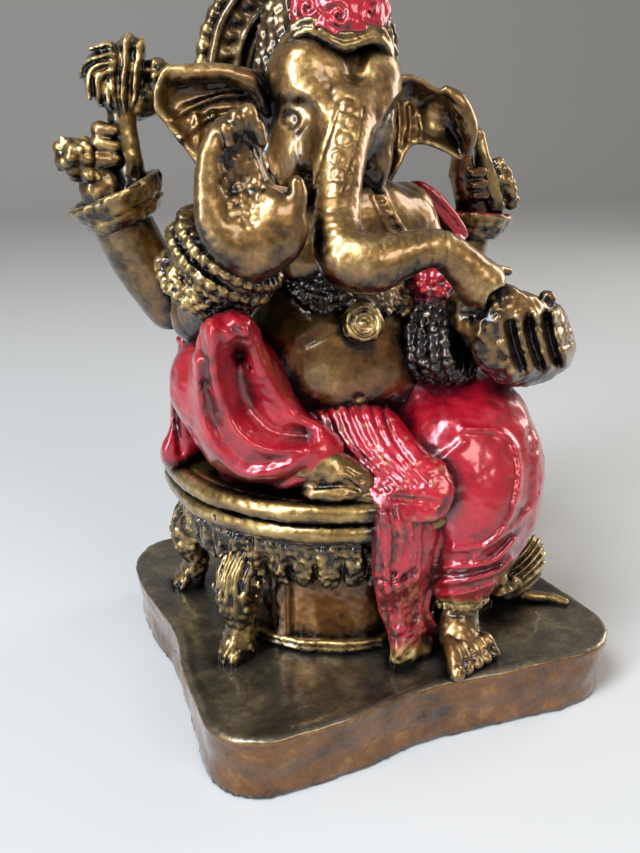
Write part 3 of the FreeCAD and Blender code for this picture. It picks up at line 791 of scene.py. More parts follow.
def cloth_noise(p, amount=0.16):
    return amount * grain(p, 2.6) + 0.4 * amount * grain(p, 0.9, 3.0)


def creased(d, uv, lines, where=1.0):
    """Adds a crease along each smooth line, given with its width and depth; a negative depth is a ridge."""
    for line, width, depth in lines:
        d = d + depth * bump(trace(uv, *line), width) * where
    return d


def right_leg(p):
    """Raised knee under cloth that falls in big curved folds to a round hem."""
    uv = seen(p, -16.0)
    d = tube(p, (-17, -1, 60.5, 9.8), (-27, -6, 66.5, 10.2), (-31.2, -9.4, 69.5, 10.0))
    d = join(d, tube(p, (-31.2, -10.0, 69.0, 9.8), (-29.6, -15.0, 63.0, 9.2), (-25.0, -20.0, 58.8, 7.6),
                     (-18.5, -24.0, 58.2, 5.0)), 3.0)
    drape = shape(uv, (-31.6, 85.2), (-36.4, 83.4), (-38.6, 79.0), (-39.4, 70.0), (-38.0, 62.0),
                  (-35.8, 55.0), (-33.0, 50.5), (-28.0, 47.8), (-22.5, 47.6), (-18.0, 50.0), (-13.0, 54.2),
                  (-12.6, 58.0), (-16.8, 63.0), (-20.6, 68.0), (-23.2, 73.0), (-26.0, 79.0), (-28.0, 83.4))
    depth = p[:, 1] + 13.5 + 0.35 * (p[:, 2] - 62)
    d = join(d, meet(drape, np.abs(depth) - 6.4, 8.0), 2.5)
    hem = ((-38.4, 76), (-38.0, 66), (-35.4, 58), (-31.4, 53.4), (-25, 52.6), (-17, 55.4))
    sweep = ((-35.4, 82), (-35.2, 73), (-33.0, 65), (-29.4, 59.6), (-23.6, 57.0), (-17.6, 56.8))
    ridges = ((hem, 1.4, -0.8),
              (sweep, 1.2, -1.3),
              (((-29.4, 81), (-26.6, 74), (-23.8, 68.4), (-19.0, 63.4), (-15, 60.4)), 1.7, -1.2))
    d = creased(d, uv, ridges)
    grooves = ((((-37.2, 72), (-36.0, 65), (-33.2, 59.4), (-29.0, 55.6), (-22, 54.6)), 1.0, 0.5),
               (((-30.8, 76), (-30.6, 71), (-28.2, 65.0), (-24.4, 60.8), (-18, 58.6)), 2.2, 2.4),
               (((-35.4, 56), (-31.0, 51.4), (-24, 50.2), (-18, 52.0)), 0.9, 0.6))
    d = creased(d, uv, grooves, p[:, 1] < -4)
    d += 1.4 * bump(np.hypot(uv[:, 0] + 30.6, (uv[:, 1] - 76.2) * 0.6), 0.7)
    d = dig(d, pebbles(p, 9.0) * 9.0 - 0.5, 0.25)
    ruffle = 0.7 * (pebbles(p, 2.4) - 0.5) * fade(p[:, 2], 78.0, 83.0)
    return d + ruffle + 0.4 * grain(p, 7.0) + cloth_noise(p, 0.2)


def left_leg(p):
    """Full cloth over the lap and the hanging left leg, gathered above the ankle."""
    uv = seen(p, -33.0)
    d = tube(p, (4, -5, 61.0, 9.6), (11, -13, 60.5, 10.6), (16.4, -19.5, 57.6, 11.4))
    d = join(d, tube(p, (16.6, -20.5, 57.0, 11.8), (17.6, -23.0, 50.0, 13.0), (16.6, -24.6, 42.0, 12.4),
                     (13.8, -26.4, 35.0, 9.8), (11.6, -27.6, 30.0, 7.8), (11.2, -27.8, 27.0, 6.6)), 2.5)
    d = join(d, tube(p, (8.6, -25.0, 57.0, 8.4), (10.6, -29.4, 50.0, 8.8), (10.6, -30.6, 44.0, 8.6),
                     (10.2, -29.8, 38.0, 7.8), (9.8, -28.6, 32.0, 6.4)), 4.0)
    knee = ((6.5, 62.6), (13.5, 61.4), (18.2, 58.5), (20.4, 52), (19.8, 45), (17, 39.5), (11, 35))
    ridges = ((knee, 0.6, -0.6),
              (((-1, 56.4), (3, 57.6), (7, 60.0)), 1.0, -0.5),
              (((4, 34.6), (10, 33.4), (16, 33.6), (20.4, 37.0)), 0.8, -0.8),
              (((3, 31.4), (9, 30.4), (17, 30.8), (20, 33)), 0.7, -0.7),
              (((6, 38.0), (13, 37.2), (19, 39.4), (23, 43)), 0.9, -0.6),
              (((4, 28.4), (10, 27.6), (16, 28.2)), 0.6, -0.5))
    grooves = ((((21.8, 59), (22.8, 52), (22.2, 44), (19.0, 38.0), (13, 33.4)), 1.2, 0.4),
               (((-0.6, 46.6), (1.6, 42.6), (4.4, 39.6)), 1.0, 0.5),
               (((5, 48), (9, 43), (10, 37)), 3.0, 0.5),
               (((3, 32.9), (9, 32.0), (17, 32.2)), 0.5, 0.5))
    d = creased(d, uv, ridges + grooves, p[:, 1] < -14)
    around = np.arctan2(p[:, 1] + 27, p[:, 0] - 14)
    d += 0.3 * np.cos(around * 15 + p[:, 2] * 0.5) * np.clip((36 - p[:, 2]) / 12, 0, 1)
    d = dig(d, pebbles(p + 4.0, 11.0) * 11.0 - 0.45, 0.2)
    return np.maximum(d + cloth_noise(p, 0.2), 25.6 - p[:, 2])


def lap_sash(p):
    """Pleated band that runs from the waist over the lap to the knot at the seat's edge."""
    uv = seen(p, -24.0)
    edge = shape(uv, (-21, 68.0), (-10, 67.2), (-3.6, 66.0), (0.4, 60.4), (4.6, 55.4), (9.4, 51.6),
                 (11.6, 46.0), (9.4, 40.6), (4.0, 38.6), (-3.0, 42.0), (-9.0, 46.6), (-12.4, 52.0),
                 (-17.0, 55.6), (-22.6, 61.0))
    spine = tube(p, (-13, -8, 61.5, 8.0), (-9, -16, 59.5, 8.6), (-4.0, -24, 55.0, 8.6), (1.4, -31, 50.0, 8.2),
                 (5.0, -34, 46.0, 7.4), (6.0, -34.5, 42.0, 5.6))
    side_fold = tube(p, (-9.0, -25, 52.0, 6.0), (-6.6, -30, 48.0, 6.4), (-4.0, -32.0, 44.0, 5.6))
    spine = join(spine, side_fold, 3.0)
    d = meet(spine, edge, 2.2)
    for i in range(7):
        u = -20.0 + 2.3 * i
        line = ((u, 68.0), (u + 0.62 * (7.5 - 0.3 * i), 58.6), (u + 14.5 - 0.5 * i, 48.6))
        d += 0.5 * bump(trace(uv, *line) + 0.3 * grain(p, 3.0), 0.5)
    d += 0.7 * bump(trace(uv, (-2.4, 46.6), (2.4, 45.4), (8.4, 43.4)), 0.7) * (p[:, 1] < -28)
    return d + cloth_noise(p, 0.3) + 0.35 * (pebbles(p, 2.4) - 0.5) * bump(p[:, 1] + 36, 5.0)


def sash_tail(p):
    """End of the sash: falls over the rim in soft pleats and ends in a point on the plinth."""
    uv = seen(p, -33.0)
    edge = shape(uv, (-11.4, 49.6), (-11.8, 40.0), (-10.8, 33.0), (-9.2, 26.6), (-7.2, 20.6), (-6.8, 14.0),
                 (0.6, 12.4), (4.8, 12.6), (4.2, 19.0), (1.4, 25.4), (2.4, 30.4), (3.2, 37.0), (4.4, 43.0),
                 (0.4, 48.0), (-6.6, 50.6))
    centre = -29.8 - 3.6 * fade(p[:, 2], 28.0, 38.0)
    d = meet(edge, np.abs(p[:, 1] - centre) - 3.6, 3.6)
    back_fold = shape(uv, (-0.4, 52), (-0.6, 38), (-0.8, 30.6), (-3.4, 25.0), (0.4, 19.0), (0.2, 12.0),
                      (8.0, 12.0), (8.0, 52.0))
    behind = bump(np.maximum(back_fold, 0), 0.9)
    front = p[:, 1] < centre
    d += 1.4 * behind * front
    waver = 0.6 * grain(p, 5.0)
    for i, deep in enumerate((0.5, 0.8, 0.45, 0.7)):
        u = -10.6 + 2.4 * i
        pleat = trace(uv, (u, 51), (u + 1.2, 43), (u + 0.9, 35), (u + 3.0 - 0.6 * i, 24))
        d += deep * bump(pleat + waver, 0.7) * front
    d -= 0.8 * bump(np.hypot((uv[:, 0] + 6.4) * 0.6, uv[:, 1] - 31.5), 2.2) * front
    d += 0.7 * bump(trace(uv, (-10.8, 35.2), (-6.8, 33.8), (-2.4, 35.0)) + waver, 0.7) * front
    d += 1.2 * bump(np.hypot(uv[:, 0] + 6.6, uv[:, 1] - 35.4), 0.9) * front
    return np.maximum(d + cloth_noise(p, 0.4), PLINTH_TOP - 0.6 - p[:, 2])


def side_scarf(p):
    """Cloth that falls behind the raised knee, swells at its foot and rests on the seat's rim."""
    uv = seen(p, 6.0)
    edge = shape(uv, (-35.2, 77.0), (-37.2, 74.0), (-38.4, 64.0), (-39.0, 57.0), (-41.2, 52.4), (-40.6, 48.6),
                 (-37.6, 47.2), (-33.5, 50.0), (-28.0, 54.0), (-26.0, 66.0), (-28.0, 76.0))
    d = meet(edge, np.abs(p[:, 1] - 5.0) - 7.0, 3.0)
    d += 0.9 * bump(trace(uv, (-36.6, 74), (-36.8, 66), (-37.4, 58), (-37.0, 51)), 0.7)
    d += 0.7 * bump(p[:, 1] - 4.5 - 0.4 * np.sin(p[:, 2] * 0.3), 0.9)
    return d + cloth_noise(p)


def shoulder_shawl(p):
    """Red cloth over the left shoulder, with its bunched end at the side of the chest."""
    d = tube(p, (9.0, 10.5, 97.0, 1.6), (12.0, 7.0, 101.0, 2.4), (15.5, 1.0, 102.2, 2.6),
             (19.6, -1.0, 98.6, 2.5), (23.0, -1.0, 94.4, 2.4), (22.0, -3.0, 89.0, 2.2),
             (17.0, -8.0, 85.0, 2.6))
    end = blob(p, (11.0, -12.5, 84.4), (4.6, 4.6, 5.2))
    end = join(end, blob(p, (14.4, -9.5, 84.0), (4.4, 5.0, 4.6)), 1.5) + 1.7 * (pebbles(p, 2.4) - 0.5)
    d = d + 0.3 * np.cos((p[:, 0] + p[:, 2]) * 1.6) + cloth_noise(p, 0.2)
    return join(d, end, 1.0)


# ---- feet and mouse -------------------------------------------------------------------------

def right_foot(p):
    d = tube(p, (-21.5, -24.5, 57.0, 3.6), (-18.0, -26.5, 56.6, 3.6), (-14.0, -28.5, 54.4, 3.2),
             (-10.6, -29.8, 52.8, 1.8))
    d = join(d, blob(p, (-16.6, -27.4, 52.4), (6.4, 4.4, 2.2), turn=-16), 1.2)
    for i in range(4):
        root = (-15.2, -30.0 + 0.5 * i, 52.0 + 1.1 * i)
        tip = (-11.0 - 0.5 * i, -32.4 + 1.2 * i, 51.0 + 1.1 * i)
        d = join(d, tube(p, (*root, 1.2), (*tip, 1.0)), 0.3)
    uv = seen(p, -28.0)
    for line in (((-14.6, 56.0), (-11.4, 53.4)), ((-14.8, 54.2), (-12.4, 52.2)),
                 ((-20.6, 53.6), (-15.0, 53.0), (-12.0, 51.6))):
        d += 0.5 * bump(trace(uv, *line), 0.4)
    return hand_made(p, d, 0.35)


def left_foot(p):
    """Broad foot with five long toes side by side."""
    d = tube(p, (11.0, -27.6, 26.5, 4.6), (10.4, -28.6, 20.4, 4.6), (9.2, -31.0, 17.6, 4.6),
             (8.8, -34.0, 15.6, 4.0))
    for i in range(5):
        x = 3.6 + i * 2.6
        root, tip = (x * 0.6 + 3.8, -33.0, 18.0 - 0.2 * i), (x + 0.2, -40.2 + 0.8 * i, 15.0)
        bend = ((root[0] + tip[0]) / 2, -37.0 + 0.4 * i, 17.0, 1.6)
        d = join(d, tube(p, (*root, 1.8), bend, (*tip, 1.6)), 0.25)
        d += 0.25 * bump(np.linalg.norm(p - vec(tip[0], tip[1] - 0.4, tip[2] + 1.2), axis=1) - 0.9, 0.25)
    return np.maximum(hand_made(p, d, 0.26), PLINTH_TOP - 0.5 - p[:, 2])


def mouse_body(p):
    """Crouching mouse with long combed fur on its back."""
    d = blob(p, (35.6, -16.5, 20.6), (5.6, 4.6, 7.2), tilt=20)
    d = join(d, blob(p, (31.0, -17.5, 16.6), (6.4, 4.6, 4.4)), 2.0)
    uv = seen(p, -17.0)
    comb = np.hypot(uv[:, 0] - 29.0, uv[:, 1] - 31.0)
    d += 0.45 * np.cos(comb * 3.4) * bump(np.hypot(uv[:, 0] - 37.0, uv[:, 1] - 22), 7.0)
    return np.maximum(hand_made(p, d, 0.2), PLINTH_TOP - 0.5 - p[:, 2])


def mouse_head(p):
    d = tube(p, (27.6, -20.0, 17.6, 3.4), (25.2, -22.6, 16.2, 2.6), (23.4, -25.0, 14.8, 1.5))
    d = join(d, ball(p, (26.4, -21.0, 20.6), 1.9), 0.4)
    d = join(d, ball(p, (29.8, -21.6, 19.4), 1.9), 0.4)
    d = join(d, tube(p, (29.4, -23.2, 16.0, 1.3), (28.4, -25.0, 13.6, 1.1), (26.8, -26.4, 13.8, 0.9)), 0.4)
    return np.maximum(d + 0.5 * (pebbles(p, 1.6) - 0.5), PLINTH_TOP - 0.5 - p[:, 2])


def mouse_tail(p):
    d = tube(p, (31.0, -19.0, 14.8, 1.8), (35.0, -21.4, 14.8, 1.6), (38.6, -23.0, 14.2, 1.4),
             (41.4, -26.0, 13.8, 1.0))
    return np.maximum(hand_made(p, d, 0.25), PLINTH_TOP - 0.5 - p[:, 2])


# ---- skins ----------------------------------------------------------------------------------

BLOCK = 8                                            # grid steps along a block of the grid
BATCH = 400                                          # blocks worked out at a time
CORNERS = [(i, j, k) for i in (0, 1) for j in (0, 1) for k in (0, 1)]
EDGES = [(a, b) for a in range(8) for b in range(a + 1, 8)
         if sum(abs(m - n) for m, n in zip(CORNERS[a], CORNERS[b])) == 1]


def sample(sculpt, low, count, step):
    """Distances on a grid, worked out only in the blocks that the surface may pass through."""
    blocks = np.maximum(np.ceil(count / BLOCK).astype(int), 1)
    size = blocks * BLOCK
    index = np.stack(np.meshgrid(*[np.arange(n) for n in blocks], indexing="ij"), axis=-1).reshape(-1, 3)
    centres = (low + (index + 0.5) * BLOCK * step).astype(np.float32)
    far = sculpt(centres)
    near = np.abs(far) < BLOCK * step * 1.35 + 0.6
    field = far.reshape(blocks).astype(np.float32)
    for axis in range(3):
        field = np.repeat(field, BLOCK, axis)
    local = np.stack(np.meshgrid(*[np.arange(BLOCK)] * 3, indexing="ij"), axis=-1).reshape(-1, 3)
    chosen = index[near]
    for start in range(0, len(chosen), BATCH):
        nodes = (chosen[start:start + BATCH, None, :] * BLOCK + local).reshape(-1, 3)
        field[nodes[:, 0], nodes[:, 1], nodes[:, 2]] = sculpt((low + nodes * step).astype(np.float32))
    for axis in range(3):
        for end in (0, size[axis] - 1):
            border = [slice(None)] * 3
            border[axis] = end
            field[tuple(border)] = np.maximum(field[tuple(border)], 0.2 * step)
    return field


def net(field):
    """Surface nets: one point per cell that the surface crosses, and a quad round each crossed edge."""
    cells = [field[i:field.shape[0] - 1 + i, j:field.shape[1] - 1 + j, k:field.shape[2] - 1 + k]
             for i, j, k in CORNERS]
    inside = sum((cell < 0).astype(np.int8) for cell in cells)
    active = np.argwhere((inside > 0) & (inside < 8))
    values = np.stack([cell[tuple(active.T)] for cell in cells], axis=1)
    total = np.zeros((len(active), 3), np.float32)
    hits = np.zeros(len(active), np.float32)
    for a, b in EDGES:
        crossed = (values[:, a] < 0) != (values[:, b] < 0)
        t = np.where(crossed, values[:, a] / np.where(crossed, values[:, a] - values[:, b], 1), 0)
        spot = np.array(CORNERS[a], np.float32) + t[:, None] * (np.array(CORNERS[b]) - CORNERS[a])
        total += spot * crossed[:, None]
        hits += crossed
    points = active + total / hits[:, None]
    number = np.full(inside.shape, -1, np.int32)
    number[tuple(active.T)] = np.arange(len(active))
    quads = []
    for axis in range(3):
        u, v = (axis + 1) % 3, (axis + 2) % 3
        here = [slice(1, -1)] * 3
        there = list(here)
        here[axis], there[axis] = slice(0, -1), slice(1, None)
        first, second = field[tuple(here)] < 0, field[tuple(there)] < 0
        for outward in (False, True):
            spots = np.argwhere(first & ~second if outward else ~first & second)
            spots = spots + [0 if n == axis else 1 for n in range(3)]
            step_u, step_v = np.eye(3, dtype=int)[u], np.eye(3, dtype=int)[v]
            ring = [spots, spots - step_u, spots - step_u - step_v, spots - step_v]
            quad = np.stack([number[tuple(corner.T)] for corner in ring], axis=1)
            quads.append(quad if outward else quad[:, ::-1])
    return points.astype(np.float32), np.concatenate(quads)


def settle(points, sculpt, step):
    """Move each point along the slope onto the surface."""
    e = 0.25 * step
    here = sculpt(points)
    slope = np.stack([sculpt(points + shift) - here for shift in np.eye(3, dtype=np.float32) * e], axis=1) / e
    move = -(here / np.maximum((slope ** 2).sum(axis=1), 0.2))[:, None] * slope
    return points + np.clip(move, -0.6 * step, 0.6 * step)


def skin_of(sculpt, nodes, step, room):
    """Points and quads of a sculpture, looked for in the box of its CAD nodes plus some room."""
    low, high = limits(*nodes)
    low = np.floor((low - room) / step) * step
    count = (high + room - low) / step + 2
    field = sample(sculpt, low, count, step)
    points, quads = net(field)
    used = np.unique(quads)
    fresh = np.full(len(points), -1, np.int64)
    fresh[used] = np.arange(len(used))
    return settle(low + points[used] * step, sculpt, step).astype(np.float32), fresh[quads]


# ---- painted shade, patina and wear ---------------------------------------------------------

CROWD_STEP = 1.25                                    # grid step of the coarse grid, mm
CROWD_ROOM = 5.0                                     # farthest distance that it holds, mm
GROOVE_REACH = 0.7                                   # how far off the skin grooves and ridges are felt, mm


def crowd(parts):
    """Coarse grid of distances to the whole figure, for telling how hemmed in a place is (painted shade)."""
    lows, highs = zip(*[limits(*nodes) for _, _, nodes, *_ in parts])
    low = np.min(lows, axis=0) - CROWD_ROOM
    count = ((np.max(highs, axis=0) + CROWD_ROOM - low) / CROWD_STEP).astype(int) + 2
    field = np.full(count, CROWD_ROOM, np.float32)
    for (_, sculpt, nodes, *_), part_low, part_high in zip(parts, lows, highs):
        first = np.maximum(((part_low - CROWD_ROOM - low) / CROWD_STEP).astype(int), 0)
        last = np.minimum(((part_high + CROWD_ROOM - low) / CROWD_STEP).astype(int) + 2, count)
        axes = [low[i] + np.arange(first[i], last[i]) * CROWD_STEP for i in range(3)]
        points = np.stack(np.meshgrid(*axes, indexing="ij"), axis=-1).reshape(-1, 3).astype(np.float32)
        own = sculpt(points).reshape(last - first)
        window = field[first[0]:last[0], first[1]:last[1], first[2]:last[2]]
        np.minimum(window, own, out=window)
    return low, field


def look_up(low, field, points):
    """Distances from the coarse grid at any points."""
    q = np.clip((points - low) / CROWD_STEP, 0, np.array(field.shape) - 1.001)
    base = q.astype(int)
    f = (q - base).astype(np.float32)
    total = np.zeros(len(points), np.float32)
    for i, j, k in CORNERS:
        weight = (np.abs(1 - i - f[:, 0]) * np.abs(1 - j - f[:, 1]) * np.abs(1 - k - f[:, 2]))
        total += weight * field[base[:, 0] + i, base[:, 1] + j, base[:, 2] + k]
    return total


def normals_of(points, quads):
    across = np.cross(points[quads[:, 2]] - points[quads[:, 0]], points[quads[:, 3]] - points[quads[:, 1]])
    total = np.zeros_like(points)
    for corner in range(4):
        for axis in range(3):
            total[:, axis] += np.bincount(quads[:, corner], across[:, axis], len(points))
    return total / np.maximum(np.linalg.norm(total, axis=1), 1e-9)[:, None]


def shades_of(points, quads, sculpt, tint, low, field):
    """From 0 to 1, how hemmed in (shade), how exposed (wear) and how much of the second paint.

    Shade is painted shade: in grooves, where it also stands for the patina there, on faces that
    turn sideways and down, and where other parts are close. The second paint also carries a
    painted highlight and painted glints.
    """
    normal = normals_of(points, quads)
    groove = np.clip(1 - sculpt(points + normal * GROOVE_REACH) / GROOVE_REACH, 0, 1)
    wear = np.clip(1 + sculpt(points - normal * GROOVE_REACH) / GROOVE_REACH, 0, 1)
    # painted shade: grooves (also the patina in them), faces turned sideways and undersides
    shade = 0.75 * groove + 0.07 * (1 - normal[:, 2]) + 0.50 * np.clip(-normal[:, 2], 0, 1)
    # painted shade where other parts are close, read from the coarse grid
    for distance, weight in ((1.8, 0.3), (4.2, 0.25)):
        clearance = look_up(low, field, points + normal * distance)
        shade += weight * np.clip(1 - clearance / distance, 0, 1)
    second_paint_and_highlight = tint(points, normal) if tint else np.zeros(len(points), np.float32)
    return np.clip(shade, 0, 1), wear, second_paint_and_highlight


# ---- materials ------------------------------------------------------------------------------

def paint(name, colours, metallic=0.9, roughness=(0.2, 0.46), coat=0.9, relief=0.2, lean=0.5, second=None):
    """Varnished metal paint: painted shade makes it dark where hemmed in, bright on ridges, mottled and
    speckled in between.
    """
    material = bpy.data.materials.new(name)
    material.use_nodes = True
    tree = material.node_tree
    shader = tree.nodes["Principled BSDF"]
    place = tree.nodes.new("ShaderNodeTexCoord")

    def node(kind, **values):
        made = tree.nodes.new(kind)
        for key, value in values.items():
            setattr(made, key, value)
        return made

    def noise(scale, detail, roughness=0.6):
        made = node("ShaderNodeTexNoise")
        made.inputs["Scale"].default_value = scale
        made.inputs["Detail"].default_value = detail
        made.inputs["Roughness"].default_value = roughness
        tree.links.new(place.outputs["Object"], made.inputs["Vector"])
        return made.outputs["Fac"]

    def sum_of(a, b, factor):
        made = node("ShaderNodeMath", operation="MULTIPLY_ADD")
        tree.links.new(a, made.inputs[0])
        made.inputs[1].default_value = factor
        if isinstance(b, float):
            made.inputs[2].default_value = b
        else:
            tree.links.new(b, made.inputs[2])
        return made.outputs[0]

    def ramp_of(level, dark, body, bright):
        ramp = node("ShaderNodeValToRGB")
        ramp.color_ramp.elements[0].position = 0.10
        ramp.color_ramp.elements[0].color = (*dark, 1)
        ramp.color_ramp.elements[1].position = 0.90
        ramp.color_ramp.elements[1].color = (*bright, 1)
        ramp.color_ramp.elements.new(0.48).color = (*body, 1)
        tree.links.new(level, ramp.inputs["Fac"])
        return ramp.outputs["Color"]

    shade = node("ShaderNodeAttribute", attribute_name="shade").outputs["Fac"]
    wear = node("ShaderNodeAttribute", attribute_name="wear").outputs["Fac"]
    mottle = noise(140.0, 6.0)
    speckle = noise(1000.0, 3.0, 0.7)
    level = sum_of(mottle, lean - 0.65, 0.9)
    level = sum_of(wear, level, 0.5)
    # painted shade: the shade attribute darkens the colour
    level = sum_of(shade, level, -0.85)
    level = sum_of(speckle, level, 0.4)
    colour = ramp_of(level, *colours)
    if second:
        mix = node("ShaderNodeMix", data_type="RGBA")
        # the second paint also carries a painted highlight and painted glints
        second_paint_and_highlight = node("ShaderNodeAttribute", attribute_name="second_paint_and_highlight").outputs["Fac"]
        tree.links.new(second_paint_and_highlight, mix.inputs["Factor"])
        tree.links.new(colour, mix.inputs["A"])
        tree.links.new(ramp_of(level, *second), mix.inputs["B"])
        colour = mix.outputs["Result"]
    tree.links.new(colour, shader.inputs["Base Color"])
    gloss = node("ShaderNodeMapRange")
    gloss.inputs["To Min"].default_value = roughness[0]
    gloss.inputs["To Max"].default_value = roughness[1]
    tree.links.new(sum_of(shade, mottle, 0.4), gloss.inputs["Value"])
    tree.links.new(gloss.outputs["Result"], shader.inputs["Roughness"])
    dent = node("ShaderNodeBump")
    dent.inputs["Strength"].default_value = relief
    dent.inputs["Distance"].default_value = 0.0004
    tree.links.new(noise(1300.0, 5.0, 0.65), dent.inputs["Height"])
    tree.links.new(dent.outputs["Normal"], shader.inputs["Normal"])
    shader.inputs["Metallic"].default_value = metallic
    shader.inputs["Coat Weight"].default_value = coat
    shader.inputs["Coat Roughness"].default_value = 0.12
    return material


# dark, body and bright tone of each paint; the dark tone also gives the painted shade
GOLD_TONES = ((0.008, 0.005, 0.003), (0.33, 0.200, 0.060), (0.95, 0.74, 0.34))
SKIN_TONES = ((0.012, 0.007, 0.004), (0.29, 0.155, 0.048), (0.92, 0.70, 0.31))
BROWN_TONES = ((0.012, 0.005, 0.003), (0.22, 0.088, 0.020), (0.58, 0.32, 0.09))
SILVER_TONES = ((0.003, 0.003, 0.006), (0.075, 0.055, 0.038), (0.80, 0.68, 0.50))
OLIVE_TONES = ((0.030, 0.028, 0.024), (0.180, 0.155, 0.108), (0.60, 0.48, 0.25))
RED_TONES = ((0.070, 0.002, 0.006), (0.36, 0.003, 0.015), (0.56, 0.012, 0.030))

GOLD = paint("gold", GOLD_TONES)
GOLD_AND_RED = paint("gold_and_red", GOLD_TONES, second=RED_TONES)
SKIN = paint("skin", SKIN_TONES)
BRONZE = paint("bronze", BROWN_TONES, second=GOLD_TONES)
WORN_GOLD = paint("worn_gold", GOLD_TONES, lean=0.38)
DARK_GOLD = paint("dark_gold", (SILVER_TONES[0], (0.17, 0.10, 0.040), (0.66, 0.50, 0.26)))
SILVER = paint("silver", SILVER_TONES, lean=0.42)
SILVER_AND_GOLD = paint("silver_and_gold", SILVER_TONES, lean=0.42, second=GOLD_TONES)
OLIVE = paint("olive", OLIVE_TONES, roughness=(0.24, 0.5), second=BROWN_TONES)
LACQUER = paint("lacquer", RED_TONES, metallic=0.2, roughness=(0.15, 0.4), lean=0.6, second=GOLD_TONES)


# ---- second paint, painted highlight and painted glints -------------------------------------

# Painted glints: scattered spots of gold on the red cloth that stand for glints of light.
def painted_glints(p):
    return 0.5 * fade(grain(p, 0.9), 0.5, 0.8)


TINTS = {
    "plinth_body": lambda p, n: fade(n[:, 2] + 0.25 * grain(p, 5.0), 0.75, 0.35),
    # round_belly: the gold goes on faces turned up and towards the lamps on the left: a painted highlight
    "round_belly": lambda p, n: fade(n[:, 2] - 0.4 * n[:, 0] + 0.5 * grain(p, 6.0), 0.1, 0.9),
    # both sash pieces get painted glints; sash_end also turns gold towards its tip
    "sash_end": lambda p, n: np.maximum(fade(p[:, 2] + 1.5 * grain(p, 2.0), 21.0, 16.0), painted_glints(p)),
    "sash_over_lap": lambda p, n: painted_glints(p),
    "cloth_left_leg": lambda p, n: fade(p[:, 2] + 0.8 * grain(p, 2.0), 27.6, 26.4),
    "necklaces": lambda p, n: fade(p[:, 0] + 2.0 * grain(p, 3.0), -6.0, 1.0),
    "cuff_left_rear": lambda p, n: fade(n[:, 2] + 0.5 * grain(p, 2.0), 0.3, 0.7),
}


# ---- pieces ---------------------------------------------------------------------------------

# slots of the record
GILT, RED, PATINA, TARNISH = "antique_gold", "red_lacquer", "bronze_patina", "dark_silver_patina"

